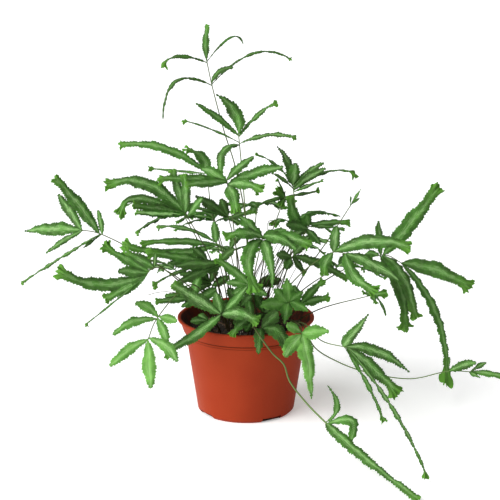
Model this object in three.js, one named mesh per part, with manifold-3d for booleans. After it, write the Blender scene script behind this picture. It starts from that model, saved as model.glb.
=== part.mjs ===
// A crested Cretan brake fern in a plastic nursery pot, in millimetres, +Z up, seen from the front along +Y.
// The origin is the middle of the pot's base. Each frond is one piece: a wiry stalk that stands in its
// hole in the soil, with whorls of toothed, fork-tipped leaflets.
import * as THREE from 'three';
import { mergeVertices } from 'three/addons/utils/BufferGeometryUtils.js';
import Module from 'manifold-3d';

const wasm = await Module();
wasm.setup();

// Pot: a six-inch azalea pot
const POT_HEIGHT = 108;
const RIM_RADIUS = 76;
const BAND_TOP_RADIUS = 73.5;
const BAND_FOOT_RADIUS = 69.5;
const BAND_HEIGHT = 16;
const WALL_TOP_RADIUS = 67.2;
const BASE_RADIUS = 54;
const BASE_CORNER = 3;
const BASE_THICKNESS = 2;
const BAND_STEP = 1;
const WALL = 1.6;
const LIP = 3;
const POT_SIDES = 36;

// Four drain slots round the corner of the base
const SLOT_COUNT = 4;
const SLOT_HEIGHT = 4.5;
const SLOT_WIDTH = 24;
const SLOT_DEPTH = 15;
const SLOT_FIRST_TURN = 33;

// Potting soil, filled to just under the rim and mounded in the middle
const SOIL_FOOT = 5.5;
const SOIL_EDGE = 92;
const SOIL_MIDDLE = 97;
const SOIL_BULGE = 1;
const SOIL_GAP = 0.35;
const SOIL_SIDES = 28;
const HOLE_DEPTH = 14;
const HOLE_RADIUS = 2.5;
const HOLE_SIDES = 5;

// Stalks, with no more than one section for each span; one with no points of its own to be led over
// passes over a place at these shares of the way out and up to its first whorl
const STALK_RADIUS = 1.5;
const STALK_SIDES = 3;
const STALK_SPAN = 26;
const STALK_SUNK = 12;
const STALK_UPRIGHT = 4;
const LED_OUT = 0.36;
const LED_UP = 0.56;

// Leaflet blades: thin and strap-shaped, with toothed edges and a twist to and fro along them
const BLADE_THICKNESS = 0.8;
const BLADE_ROOT = 1;
const BLADE_SKEW = 0.92;
const BLADE_FULLNESS = 0.7;
const STAGGER = 2.5;
const TOOTH = 0.09;
const WAVE = 9;
const SEGMENT_LENGTH = 19;
const FEWEST_SEGMENTS = 3;
const MOST_SEGMENTS = 6;

// Upper faces look up, out from the pot's middle, and to the front
const FACE_OUT = 0.5;
const FACE_FRONT = 0.9;

// Crests: the blade narrows to a neck, then fans out in lobes with notches between them; a long crest is
// no broader than a middling one
const CREST_NECK = 0.66;
const CREST_NECK_FROM = 0.4;
const CREST_HEART = 0.25;
const CREST_LENGTH = 0.75;
const CREST_BREADTH = 1.1;
const CREST_WIDEST = 11;
const CREST_SPREAD = 44;
const CREST_LOBES = [-1, -0.5, 0, 0.5, 1];
const CREST_NOTCH = 0.78;
const CREST_RUFFLE = 0.14;

// Points closer than this are one, in a geometry and in a finished frond
const SAME_POINT = 1e-3;
const MERGE = 0.05;

const FINISH = {
  pot: { color: new THREE.Color(0.6, 0.16, 0.07), roughness: 0.55 },
  soil: { color: new THREE.Color(0.06, 0.04, 0.03), roughness: 0.95 },
  frond: { color: new THREE.Color(0.13, 0.33, 0.07), roughness: 0.45 },
};

const rad = THREE.MathUtils.degToRad;
const vec = (x, y, z) => new THREE.Vector3(x, y, z);

// A leaflet: where its tip is from the whorl (to the right, to the back, up), its width, the radius
// of the crest that its last stretch fans into, and how far its middle bows: up, or three ways.
// A leaflet may state how far it looks to the front, where that isn't what its frond's leaflets do.
const leaf = (right, back, up, width, crest = 0, bow = 6, front) => ({
  reach: vec(right, back, up),
  width,
  crest,
  bow: Array.isArray(bow) ? vec(...bow) : vec(0, 0, bow),
  front,
});
const whorl = (right, back, up, leaflets) => ({ at: vec(right, back, up), leaflets });

// The fronds: where each stands in the soil, any points that its stalk is led over, and its whorls
const FRONDS = [
  { name: 'frond_leader', foot: [-3, 14], over: [[2, 12, 190], [-11, 10, 272], [-24, 10, 315]], whorls: [
    whorl(-37, 10, 366, [
      leaf(-52, -15, -37, 6, 0, [-25, 0, 46]),
      leaf(24, -12, 19, 8, 0, [-8, 0, 8]),
      leaf(87, -4, 25, 5, 5, [4, 0, 42]),
    ]),
    whorl(-42, 8, 391, [
      leaf(1, 0, 39, 9, 2, [-3, 0, 2]),
      leaf(-48, -10, -5, 6, 8, [-12, 0, 18]),
      leaf(39, 6, 17, 4, 0, [12, 0, 33]),
    ]),
  ] },
  { name: 'frond_second_leader', foot: [4, 6], over: [], whorls: [
    whorl(-7, 0, 303, [
      leaf(-62, 4, 24, 3, 7, 5),
      leaf(62, -15, 8, 7, 6, 13),
      leaf(-19, -14, -36, 13, 0, [-17, -8, 22]),
    ]),
    whorl(-8, 0, 312, [
      leaf(-24, -8, 45, 15, 0, [17, 0, 4]),
      leaf(-46, 0, 34, 8, 0, 5),
      leaf(42, 0, 35, 7, 6, [-2, 0, 9]),
    ]),
  ] },
  { name: 'frond_star_high', foot: [-6, -6], over: [], whorls: [
    whorl(-20, -50, 272, [
      leaf(-74, -12, 4, 12, 9, 4),
      leaf(-43, -24, 0, 11, 4, 2),
      leaf(-27, 14, 9, 12, 0, 6),
      leaf(29, 12, 23, 11, 0, 6),
      leaf(60, -2, 15, 12, 0, 6),
      leaf(39, -22, -9, 12, 9, 12),
      leaf(11, -24, -33, 15, 6, 14),
    ]),
  ] },
  { name: 'frond_upper_left', foot: [-16, 16], over: [[-24, 30, 160], [-38, 38, 215]], whorls: [
    whorl(-43, 25, 266, [
      leaf(-98, 4, 28, 11, 6, 26),
      leaf(-29, -6, 28, 15, 9, [14, 0, 9]),
      leaf(-67, 18, 0, 4, 9, 0),
    ]),
  ] },
  { name: 'frond_left_fan', foot: [-22, -8], over: [], whorls: [
    whorl(-64, -62, 240, [
      leaf(-86, 6, 26, 15, 11, 39),
      leaf(-66, -16, -3, 9, 13, [-37, -7, 44], 3),
      leaf(-54, -28, 14, 12, 5, 2),
      leaf(-50, -38, 9, 9, 3, 0, -2),
      leaf(-14, 12, 44, 10, 4, 2),
      leaf(-2, 0, 42, 11, 4, [4, 0, 0]),
      leaf(19, -10, 18, 9, 0, 2),
    ]),
  ] },
  { name: 'frond_far_left', foot: [-34, 0], over: [], whorls: [
    whorl(-164, 32, 194, [
      leaf(-47, -20, 69, 14, 6, [4, 0, 2], 2),
      leaf(0, -4, 28, 8, 0, 2),
      leaf(-86, -30, -50, 7, 4, 2),
      leaf(-18, -4, -16, 5, 0, 1),
    ]),
    whorl(-185, 36, 197, [
      leaf(-27, 22, 36, 12, 0, 2, 2),
      leaf(-66, 24, -7, 16, 0, 4, 2),
      leaf(-38, -16, -23, 8, 0, 4),
    ]),
  ] },
  { name: 'frond_left_low', foot: [-30, -18], over: [], whorls: [
    whorl(-96, -96, 189, [
      leaf(-34, 10, 15, 12, 8, 2),
      leaf(2, 4, 15, 5, 0, 0),
    ]),
    whorl(-104, -98, 181, [
      leaf(-48, 12, 31, 11, 11, -2),
      leaf(-95, -14, 11, 15, 12, [0, 0, -29]),
      leaf(-29, -4, 6, 11, 0, 0),
      leaf(-44, -14, -22, 12, 6, [0, 0, -4]),
      leaf(-63, -30, -46, 3, 5, [4, 0, 2]),
    ]),
  ] },
  { name: 'frond_pale_low_left', foot: [-28, -26], over: [[-58, -73, 164]], whorls: [
    whorl(-94, -90, 131, [
      leaf(-23, 6, 16, 11, 0, [2, 0, 6]),
      leaf(-46, -8, -15, 12, 0, [-4, 0, 11]),
      leaf(22, -10, 0, 10, 0, 1),
      leaf(12, -14, -22, 11, 0, 2),
    ]),
    whorl(-103, -101, 111, [
      leaf(-40, -6, -27, 12, 0, [-2, 0, 6]),
      leaf(3, -16, -48, 15, 0, [0, -4, 4]),
      leaf(32, -14, -19, 12, 0, [6, 0, 7]),
    ]),
  ] },
  { name: 'frond_front_left', foot: [-10, -34], over: [], whorls: [
    whorl(-27, -84, 135, [
      leaf(-51, 2, 32, 15, 4, [-2, 0, 2]),
      leaf(-5, 6, 23, 11, 0, 0),
      leaf(29, 8, 28, 10, 0, 0),
      leaf(42, -16, -5, 14, 7, 11),
      leaf(-63, -2, -42, 12, 11, -10),
    ]),
  ] },
  { name: 'frond_star_right', foot: [22, -20], over: [], whorls: [
    whorl(48, -50, 139, [
      leaf(-33, -10, -3, 17, 0, 2),
      leaf(-18, 6, 12, 14, 0, 2),
      leaf(-4, 8, 24, 12, 0, 2),
      leaf(14, 6, 9, 11, 0, 2),
      leaf(19, -10, -8, 12, 0, 2),
      leaf(-7, -18, -20, 13, 0, 6),
    ]),
  ] },
  { name: 'frond_front_right', foot: [26, -38], over: [[42, -50, 118], [58, -70, 118]], whorls: [
    whorl(59, -88, 113, [
      leaf(29, -8, 6, 16, 0, 2),
      leaf(-18, -16, -20, 16, 0, 6),
      leaf(10, -20, -65, 17, 0, [4, -12, 8]),
      leaf(-16, -2, 12, 11, 0, 2),
    ]),
  ] },
  { name: 'frond_trailing', foot: [6, -40], over: [
    [9, -80, 118], [19, -93, 107], [29, -99, 95], [40, -105, 86], [46, -109, 69], [64, -124, 49],
  ], whorls: [
    whorl(84, -150, 36, [
      leaf(84, -122, -32, 12, 4, [-8, 0, 0]),
      leaf(0, -2, 43, 7, 0, [22, 0, -8]),
      leaf(21, -26, -14, 12, 0, [28, -4, 30]),
    ]),
  ] },
  { name: 'frond_right_low', foot: [34, -30], over: [[61, -61, 118], [80, -86, 106]], whorls: [
    whorl(106, -110, 106, [
      leaf(22, -5, 38, 12, 0, [-4, 0, -4]),
      leaf(66, -4, -26, 13, 0, 18),
      leaf(55, -26, -46, 16, 12, 8),
      leaf(36, -50, -65, 6, 10, [10, 0, -4]),
      leaf(75, -115, -99, 6, 8, [15, 0, 2]),
    ]),
  ] },
  { name: 'frond_runner', foot: [38, -18], over: [
    [59, -47, 115], [74, -66, 92], [98, -75, 79], [128, -80, 69], [176, -88, 64],
  ], whorls: [
    whorl(216, -92, 74, [
      leaf(28, -6, 11, 10, 0, 4),
      leaf(0, 2, 15, 6, 0, 0),
    ]),
    whorl(240, -92, 73, [
      leaf(16, 4, 9, 6, 0, 2),
      leaf(40, -6, -6, 8, 0, 4),
      leaf(8, -8, -4, 7, 0, 0),
    ]),
  ] },
  { name: 'frond_right_fan', foot: [30, -8], over: [], whorls: [
    whorl(152, 10, 175, [
      leaf(64, 20, 76, 18, 12, -4),
      leaf(-6, 4, 38, 10, 0, 0),
      leaf(-20, 10, -2, 14, 0, 4),
      leaf(24, -34, -84, 17, 12, [14, -6, 22]),
      leaf(34, -44, -66, 17, 9, [9, -6, 26]),
    ]),
    whorl(173, 12, 165, [
      leaf(77, -30, -23, 18, 12, 14, 2.5),
      leaf(50, -24, -144, 13, 28, [34, 0, 18]),
    ]),
  ] },
  { name: 'frond_right_centre', foot: [24, -14], over: [], whorls: [
    whorl(93, -86, 203, [
      leaf(2, 6, 27, 12, 0, 0),
      leaf(-10, -8, -26, 12, 6, [-8, 0, 4]),
      leaf(81, -10, 6, 16, 9, 20),
    ]),
    whorl(105, -90, 202, [
      leaf(54, -16, -24, 15, 0, 6),
      leaf(36, -22, -38, 14, 11, [-16, -4, -6]),
    ]),
  ] },
  { name: 'frond_upper_right', foot: [26, 4], over: [[46, 14, 160], [55, 28, 213]], whorls: [
    whorl(52, 34, 250, [
      leaf(-18, -2, 43, 13, 0, [9, 0, 3], 3),
      leaf(3, -10, 26, 12, 0, 2, 3),
      leaf(34, -4, 25, 11, 0, 6),
      leaf(74, 6, 10, 5, 12, 24),
      leaf(34, -8, 6, 6, 4, 2),
      leaf(-43, 6, 33, 6, 5, [8, 0, 10]),
      leaf(-24, -8, 14, 6, 0, [2, 0, 4]),
      leaf(36, -12, 20, 9, 0, 6, 2),
    ]),
  ] },
  { name: 'frond_small_dark', foot: [10, 20], over: [], whorls: [
    whorl(44, 52, 233, [
      leaf(40, 4, 5, 5, 6, -1),
      leaf(-12, -6, 10, 11, 11, 0, 3),
      leaf(-6, -6, -12, 8, 8, 0),
      leaf(-25, -2, -8, 5, 0, 2),
      leaf(-9, -2, 20, 3, 4, 0),
    ]),
  ] },
  { name: 'frond_right_inner', foot: [26, 13], over: [], whorls: [
    whorl(71, 28, 205, [
      leaf(46, -4, 4, 10, 8, 2),
      leaf(-5, -4, 13, 15, 0, 0, 2.5),
      leaf(39, -12, -3, 7, 3, 4),
      leaf(-22, -13, 37, 13, 3, [-11, -2, -11], 3),
      leaf(-27, -24, 6, 12, 0, 2, 2),
      leaf(12, -12, -20, 12, 0, 2),
    ]),
  ] },
  { name: 'frond_star_centre', foot: [4, -22], over: [], whorls: [
    whorl(18, -90, 221, [
      leaf(-42, -14, -1, 14, 9, 14),
      leaf(51, -14, -6, 15, 8, 8),
      leaf(10, -16, -52, 13, 0, [4, -12, 16]),
      leaf(-3, -32, -60, 15, 11, [-27, -8, 24]),
      leaf(-25, 16, 17, 13, 0, 4),
      leaf(25, 16, 3, 12, 0, 4),
      leaf(34, -22, -9, 13, 0, 10),
    ]),
  ] },
  { name: 'frond_mid_dark', foot: [-4, 24], over: [[-9, 26, 168]], whorls: [
    whorl(-20, 26, 216, [
      leaf(-36, -8, 24, 12, 0, 2, 2),
      leaf(-8, 0, 19, 11, 0, 0),
      leaf(27, -4, 6, 11, 4, 2),
      leaf(-38, 2, 9, 7, 3, 2),
    ]),
  ] },
  { name: 'frond_young', foot: [40, 14], over: [[62, 4, 150], [92, 4, 196]], whorls: [
    whorl(117, 26, 229, [
      leaf(10, 0, 17, 3, 0, 0),
      leaf(-1, -4, 10, 3, 0, 0),
      leaf(9, 4, 6, 3, 0, 0),
    ]),
  ] },
  { name: 'frond_left_mid', foot: [-14, -8], over: [], whorls: [
    whorl(-32, -20, 197, [
      leaf(-85, 0, -2, 9, 10, 8),
      leaf(-3, 4, 22, 11, 0, 0),
      leaf(-66, 10, 14, 6, 5, 15),
      leaf(-104, -14, 3, 11, 12, [0, 0, -22]),
    ]),
  ] },
  { name: 'frond_left_bush_high', foot: [-20, -18], over: [], whorls: [
    whorl(-41, -42, 181, [
      leaf(-66, -14, 14, 11, 9, 2),
      leaf(-43, -8, 1, 10, 0, 2),
      leaf(-30, 8, -8, 12, 0, 2),
      leaf(-16, -10, 18, 10, 0, 2),
    ]),
  ] },
  { name: 'frond_left_bush_low', foot: [-18, -28], over: [], whorls: [
    whorl(-28, -52, 183, [
      leaf(-48, -8, -2, 11, 0, 2),
      leaf(-75, -4, -27, 5, 9, [0, 0, 14]),
      leaf(-51, 2, -26, 11, 0, 2),
      leaf(-13, 3, -12, 10, 0, 2),
      leaf(16, -10, 18, 10, 0, 2),
    ]),
  ] },
  { name: 'frond_left_skirt', foot: [-42, -10], over: [], whorls: [
    whorl(-58, -14, 134, [
      leaf(-42, -8, -4, 9, 5, 2),
      leaf(-32, 8, -2, 12, 0, 2),
      leaf(6, 4, 22, 13, 0, 0),
      leaf(26, 0, 8, 13, 0, 2),
      leaf(-12, -10, -10, 12, 0, 2),
      leaf(-22, 4, 13, 9, 5, 2),
    ]),
  ] },
  { name: 'frond_cross', foot: [13, -30], over: [], whorls: [
    whorl(4, -66, 162, [
      leaf(-36, -6, 31, 11, 8, [-2, 0, 4]),
      leaf(-25, -6, 4, 9, 0, 2),
      leaf(-18, -2, -10, 12, 0, 2),
      leaf(18, -8, -10, 11, 0, 2),
    ]),
  ] },
  { name: 'frond_rim_front', foot: [14, -48], over: [], whorls: [
    whorl(17, -66, 113, [
      leaf(-4, -19, -23, 11, 0, [0, -10, 21]),
      leaf(30, -19, -21, 16, 0, [4, -8, 22]),
      leaf(18, -2, 20, 15, 0, 2),
    ]),
  ] },
  { name: 'frond_core_middle', foot: [-2, -24], over: [], whorls: [
    whorl(-6, -36, 130, [
      leaf(-22, -12, 3, 13, 0, 2),
      leaf(-14, 4, 18, 12, 0, 2),
      leaf(13, -10, 14, 11, 0, 2),
      leaf(11, -9, -15, 9, 0, 2),
      leaf(-4, -24, -18, 10, 0, 2),
    ]),
  ] },
  { name: 'frond_core_right', foot: [24, -24], over: [], whorls: [
    whorl(19, -38, 123, [
      leaf(-13, -17, -6, 9, 0, 2),
      leaf(-9, 4, 20, 12, 0, 2),
      leaf(16, -4, 12, 12, 0, 2),
      leaf(13, -14, -11, 12, 0, 2),
    ]),
  ] },
  { name: 'frond_core_back', foot: [8, 32], over: [], whorls: [
    whorl(14, 30, 134, [
      leaf(-17, -1, 4, 12, 0, 2),
      leaf(-21, 4, 13, 12, 0, 2),
      leaf(16, 8, 10, 11, 0, 2),
      leaf(26, 14, 4, 14, 0, 4),
    ]),
  ] },
  { name: 'frond_right_tuft', foot: [46, -5], over: [], whorls: [
    whorl(60, -24, 129, [
      leaf(26, 0, 27, 10, 6, 2),
      leaf(33, -6, 9, 12, 7, 2),
      leaf(-8, 2, 20, 11, 0, 0),
      leaf(-22, -2, 4, 13, 0, 2),
    ]),
  ] },
  { name: 'frond_wiry_right', foot: [44, -14], over: [], whorls: [
    whorl(140, -34, 142, [
      leaf(15, -2, 2, 10, 10, 0),
      leaf(12, -6, -23, 5, 0, [4, 0, 4]),
      leaf(-15, -4, 4, 7, 5, 0),
      leaf(2, -8, -9, 7, 5, 0),
    ]),
  ] },
  { name: 'frond_core_left', foot: [-24, 10], over: [], whorls: [
    whorl(-40, 8, 145, [
      leaf(-26, -4, 26, 13, 0, 2),
      leaf(-34, 2, 8, 14, 0, 4),
      leaf(-26, -8, -8, 13, 0, 2),
      leaf(8, -2, 24, 12, 0, 2),
      leaf(22, -6, 6, 13, 0, 2),
    ]),
  ] },
  { name: 'frond_core_front', foot: [2, -44], over: [], whorls: [
    whorl(6, -58, 121, [
      leaf(-18, 0, 14, 10, 0, 2),
      leaf(-3, 6, 19, 10, 0, 2),
      leaf(-6, -4, -13, 8, 0, 2),
      leaf(-23, -25, -13, 11, 7, [0, -4, 12]),
    ]),
  ] },
  { name: 'frond_rim_left', foot: [-34, -38], over: [], whorls: [
    whorl(-42, -42, 114, [
      leaf(-18, -6, 2, 9, 0, 2),
      leaf(-10, 10, 4, 9, 0, 2),
      leaf(14, -2, 2, 10, 0, 2),
      leaf(2, -10, -6, 9, 0, 2),
    ]),
  ] },
  { name: 'frond_right_heart', foot: [12, -12], over: [], whorls: [
    whorl(52, -25, 184, [
      leaf(-9, -8, -14, 11, 0, 2),
      leaf(16, -4, 22, 13, 0, 2),
      leaf(60, -2, -28, 12, 3, 9),
      leaf(-19, -2, 1, 11, 0, 2),
      leaf(14, 4, -24, 9, 4, 2),
    ]),
  ] },
];

// A seeded draw between two values
const DRAW_FACTOR = 16807;
const DRAW_MODULUS = 2147483647;

function draws(seed) {
  let state = seed;
  return ([low, high]) => {
    state = (state * DRAW_FACTOR) % DRAW_MODULUS;
    return low + ((high - low) * state) / DRAW_MODULUS;
  };
}

// The fronds at the back of the pot follow a rule: they lean out evenly between two headings, low and
// high ones by turns. Each leaflet has a heading from its frond's own, and a share of the full length.
const BACK_COUNT = 8;
const BACK_SEED = 11;
const BACK_SEED_STEP = 97;
const BACK_FROM = 18;
const BACK_TO = 162;
const BACK_LOW = { foot: 40, reach: [120, 150], height: [140, 165] };
const BACK_HIGH = { foot: 29, reach: [80, 105], height: [195, 225] };
const BACK_LEAFLETS = [[-72, 0.85], [-28, 1], [8, 1.15], [42, 1], [80, 0.85]];
const BACK_SWAY = [-6, 6];
const BACK_LENGTH = [46, 62];
const BACK_RISE = [-0.5, 0.1];
const BACK_WIDTH = [11, 14];
const BACK_CREST = [0, 8.5];
const BACK_BOW = 14;

function backFrond(i) {
  const draw = draws(BACK_SEED + BACK_SEED_STEP * i);
  const heading = rad(BACK_FROM + ((BACK_TO - BACK_FROM) * (i + 0.5)) / BACK_COUNT);
  const out = vec(Math.cos(heading), Math.sin(heading), 0);
  const side = vec(-out.y, out.x, 0);
  const rank = i % 2 ? BACK_HIGH : BACK_LOW;
  const reach = draw(rank.reach);
  const height = draw(rank.height);
  const leaflets = BACK_LEAFLETS.map(([spread, share]) => {
    const turn = rad(spread + draw(BACK_SWAY));
    const length = draw(BACK_LENGTH) * share;
    const flat = out.clone().multiplyScalar(Math.cos(turn)).addScaledVector(side, Math.sin(turn));
    const rise = draw(BACK_RISE);
    const width = draw(BACK_WIDTH);
    return leaf(flat.x * length, flat.y * length, rise * length, width, draw(BACK_CREST), BACK_BOW);
  });
  return {
    name: `frond_back_${i + 1}`,
    foot: [out.x * rank.foot, out.y * rank.foot],
    over: [],
    front: 0,
    whorls: [whorl(out.x * reach, out.y * reach, height, leaflets)],
  };
}

function solidOf(geometry) {
  geometry.deleteAttribute('normal');
  geometry.deleteAttribute('uv');
  const merged = mergeVertices(geometry, SAME_POINT);
  return new wasm.Manifold(new wasm.Mesh({
    numProp: 3,
    vertProperties: new Float32Array(merged.attributes.position.array),
    triVerts: new Uint32Array(merged.index.array),
  }));
}

function meshOf(solid, name, finish) {
  const made = solid.getMesh();
  const geometry = new THREE.BufferGeometry();
  const places = new Float32Array(made.numVert * 3);
  for (let i = 0; i < made.numVert; i++) {
    places.set(made.vertProperties.subarray(i * made.numProp, i * made.numProp + 3), i * 3);
  }
  geometry.setAttribute('position', new THREE.BufferAttribute(places, 3));
  geometry.setIndex(new THREE.BufferAttribute(new Uint32Array(made.triVerts), 1));
  geometry.computeVertexNormals();
  const mesh = new THREE.Mesh(geometry, new THREE.MeshStandardMaterial({ ...finish, metalness: 0 }));
  mesh.name = name;
  return mesh;
}

// The largest connected body of a solid, so that no loose scrap is left
function wholeOf(solid) {
  return solid.decompose().reduce((a, b) => (a.volume() > b.volume() ? a : b));
}

// A lathe's points are (radius, height) from the axis round the section, turned about +Z
function turned(points, sides) {
  const lathe = new THREE.LatheGeometry(points.map(([r, z]) => new THREE.Vector2(r, z)), sides);
  return solidOf(lathe.rotateX(Math.PI / 2));
}

function pot() {
  const bandFoot = POT_HEIGHT - BAND_HEIGHT;
  const outside = [
    [0, 0],
    [BASE_RADIUS - BASE_CORNER, 0],
    [BASE_RADIUS, BASE_CORNER],
    [WALL_TOP_RADIUS, bandFoot],
    [BAND_FOOT_RADIUS, bandFoot + BAND_STEP],
    [BAND_TOP_RADIUS, POT_HEIGHT - LIP],
    [RIM_RADIUS, POT_HEIGHT - LIP / 2],
    [RIM_RADIUS - LIP / 5, POT_HEIGHT],
  ];
  const inside = [
    [BAND_TOP_RADIUS - WALL, POT_HEIGHT - LIP / 5],
    [BAND_FOOT_RADIUS - WALL, bandFoot + BAND_STEP + WALL],
    [WALL_TOP_RADIUS - WALL, bandFoot],
    [BASE_RADIUS - WALL, BASE_CORNER + BASE_THICKNESS / 2],
    [BASE_RADIUS - BASE_CORNER - WALL, BASE_THICKNESS],
    [0, BASE_THICKNESS],
  ];
  let body = turned([...outside, ...inside], POT_SIDES);
  for (let i = 0; i < SLOT_COUNT; i++) {
    const slot = new THREE.BoxGeometry(SLOT_WIDTH, SLOT_DEPTH, 2 * SLOT_HEIGHT);
    slot.translate(0, -BASE_RADIUS, 0).rotateZ(rad(SLOT_FIRST_TURN + (360 / SLOT_COUNT) * i));
    body = body.subtract(solidOf(slot));
  }
  return meshOf(body, 'pot', FINISH.pot);
}

// The pot's inner radius at a height, below the band
function innerRadius(z) {
  const share = (z - BASE_CORNER) / (POT_HEIGHT - BAND_HEIGHT - BASE_CORNER);
  return BASE_RADIUS + (WALL_TOP_RADIUS - BASE_RADIUS) * share - WALL;
}

function soilHeight(x, y) {
  const share = Math.min(1, Math.hypot(x, y) / innerRadius(SOIL_EDGE));
  return SOIL_MIDDLE - (SOIL_MIDDLE - SOIL_EDGE) * share;
}

function soil(feet) {
  const edge = innerRadius(SOIL_EDGE) - 2 * SOIL_GAP;
  let bed = turned([
    [0, SOIL_FOOT],
    [innerRadius(SOIL_FOOT) - 2 * SOIL_GAP, SOIL_FOOT],
    [edge, SOIL_EDGE],
    [edge / 2, (SOIL_EDGE + SOIL_MIDDLE) / 2 + SOIL_BULGE],
    [0, SOIL_MIDDLE],
  ], SOIL_SIDES);
  for (const [x, y] of feet) {
    const hole = new THREE.CylinderGeometry(HOLE_RADIUS, HOLE_RADIUS, 2 * HOLE_DEPTH, HOLE_SIDES);
    hole.rotateX(Math.PI / 2).translate(x, y, soilHeight(x, y));
    bed = bed.subtract(solidOf(hole));
  }
  return meshOf(bed, 'soil', FINISH.soil);
}

// A stalk stands upright in its hole, then leans out in one sweep over its points to its last whorl
function stalkStations({ foot: [x, y], over, whorls }) {
  const ground = soilHeight(x, y);
  const upright = vec(x, y, ground + STALK_UPRIGHT);
  const first = whorls[0].at;
  const led = over.length ? over.map((p) => vec(...p)) : [
    vec(x + LED_OUT * (first.x - x), y + LED_OUT * (first.y - y), ground + LED_UP * (first.z - ground)),
  ];
  const knots = [upright, ...led, ...whorls.map(({ at }) => at)];
  const sweep = new THREE.CatmullRomCurve3(knots, false, 'centripetal');
  const stations = [vec(x, y, ground - STALK_SUNK), upright];
  for (let k = 1; k < knots.length; k++) {
    const pieces = Math.max(1, Math.round(knots[k].distanceTo(knots[k - 1]) / STALK_SPAN));
    for (let i = 1; i <= pieces; i++) {
      stations.push(sweep.getPoint((k - 1 + i / pieces) / (knots.length - 1)));
    }
  }
  return stations;
}

function stalk(stations) {
  const line = new THREE.CatmullRomCurve3(stations, false, 'centripetal');
  // The section is set at the stations themselves, not at even steps along the line
  line.getPointAt = line.getPoint;
  line.getTangentAt = line.getTangent;
  const section = new THREE.Shape(Array.from({ length: STALK_SIDES }, (_, i) => {
    const turn = (2 * Math.PI * i) / STALK_SIDES;
    return new THREE.Vector2(STALK_RADIUS * Math.cos(turn), STALK_RADIUS * Math.sin(turn));
  }));
  return solidOf(new THREE.ExtrudeGeometry(section, { steps: stations.length - 1, extrudePath: line }));
}

// Half the blade's width along its length, as a share of its full width
function outline(t, crested) {
  const swell = Math.sin(Math.PI * Math.min(1, t) ** BLADE_SKEW) ** BLADE_FULLNESS;
  const neck = crested ? CREST_NECK * THREE.MathUtils.smoothstep(t, CREST_NECK_FROM, 1) : 0;
  return 0.5 * Math.max(swell, neck);
}

// One leaflet as a closed blade from its root on the stalk to its tip, with its upper face to the
// light. Each face of a stretch is two triangles, split along the same diagonal above and below.
function blade(root, frondFront, { reach, width, crest, bow, front = frondFront }) {
  const light = vec(root.x, root.y, 0).normalize().multiplyScalar(FACE_OUT).add(vec(0, -front, 1));
  const middle = root.clone().addScaledVector(reach, 0.5).add(bow);
  const midrib = new THREE.QuadraticBezierCurve3(root, middle, root.clone().add(reach));
  const length = reach.length();
  const last = 1 - crest / length;
  const wanted = 1 + Math.round(length / SEGMENT_LENGTH);
  const segments = THREE.MathUtils.clamp(wanted, FEWEST_SEGMENTS, MOST_SEGMENTS);
  const places = [];
  const faces = [];
  const add = (point) => places.push(point.x, point.y, point.z) / 3 - 1;

  // The directions along, across and out of the blade, at a share of its length
  const axes = (t, tilt) => {
    const along = midrib.getTangent(t);
    const normal = light.clone().addScaledVector(along, -light.dot(along)).normalize();
    normal.applyAxisAngle(along, rad(tilt));
    return [along, new THREE.Vector3().crossVectors(normal, along).normalize(), normal];
  };
  const rings = [];
  for (let i = 0; i < (crest > 0 ? segments + 1 : segments); i++) {
    const t = (last * i) / segments;
    const way = i % 2 ? 1 : -1;
    const [, across, normal] = axes(t, i ? way * WAVE : 0);
    const half = i ? width * outline(i / segments, crest > 0) * (1 + way * TOOTH) : BLADE_ROOT / 2;
    rings.push([[-1, 1], [1, 1], [1, -1], [-1, -1]].map(([side, face]) => add(midrib.getPoint(t)
      .addScaledVector(across, side * Math.max(half, BLADE_ROOT / 2))
      .addScaledVector(normal, face * BLADE_THICKNESS / 2))));
  }
  faces.push(rings[0][0], rings[0][1], rings[0][2], rings[0][0], rings[0][2], rings[0][3]);
  for (let i = 1; i < rings.length; i++) {
    for (let k = 0; k < 4; k++) {
      const next = (k + 1) % 4;
      const [a, b, c, d] = [rings[i - 1][k], rings[i - 1][next], rings[i][next], rings[i][k]];
      if (k === 2) faces.push(a, d, b, b, d, c);
      else faces.push(a, d, c, a, c, b);
    }
  }
  const [left, right, rightUnder, leftUnder] = rings[rings.length - 1];
  if (crest > 0) {
    const [along, across, normal] = axes(last, 0);
    const heart = midrib.getPoint(last).addScaledVector(along, CREST_HEART * crest);
    const breadth = Math.min(CREST_BREADTH * crest, CREST_WIDEST);
    const fan = CREST_LOBES.map((share, i) => {
      const turn = rad(CREST_SPREAD * share);
      const lobe = i % 2 ? CREST_NOTCH : 1;
      return add(heart.clone()
        .addScaledVector(along, CREST_LENGTH * crest * lobe * Math.cos(turn))
        .addScaledVector(across, breadth * lobe * Math.sin(turn))
        .addScaledVector(normal, (i % 2 ? 1 : -1) * CREST_RUFFLE * crest));
    });
    const above = add(heart.clone().addScaledVector(normal, BLADE_THICKNESS / 2));
    const under = add(heart.clone().addScaledVector(normal, -BLADE_THICKNESS / 2));
    const edge = [left, ...fan, right];
    const underEdge = [leftUnder, ...fan, rightUnder];
    faces.push(left, above, right, rightUnder, under, leftUnder);
    for (let i = 1; i < edge.length; i++) {
      faces.push(above, edge[i - 1], edge[i], under, underEdge[i], underEdge[i - 1]);
    }
    faces.push(left, leftUnder, fan[0], right, fan[fan.length - 1], rightUnder);
  } else {
    const point = add(midrib.getPoint(1));
    faces.push(left, point, right, rightUnder, point, leftUnder);
    faces.push(left, leftUnder, point, right, point, rightUnder);
  }
  const geometry = new THREE.BufferGeometry();
  geometry.setAttribute('position', new THREE.Float32BufferAttribute(places, 3));
  geometry.setIndex(faces);
  return solidOf(geometry);
}

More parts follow.
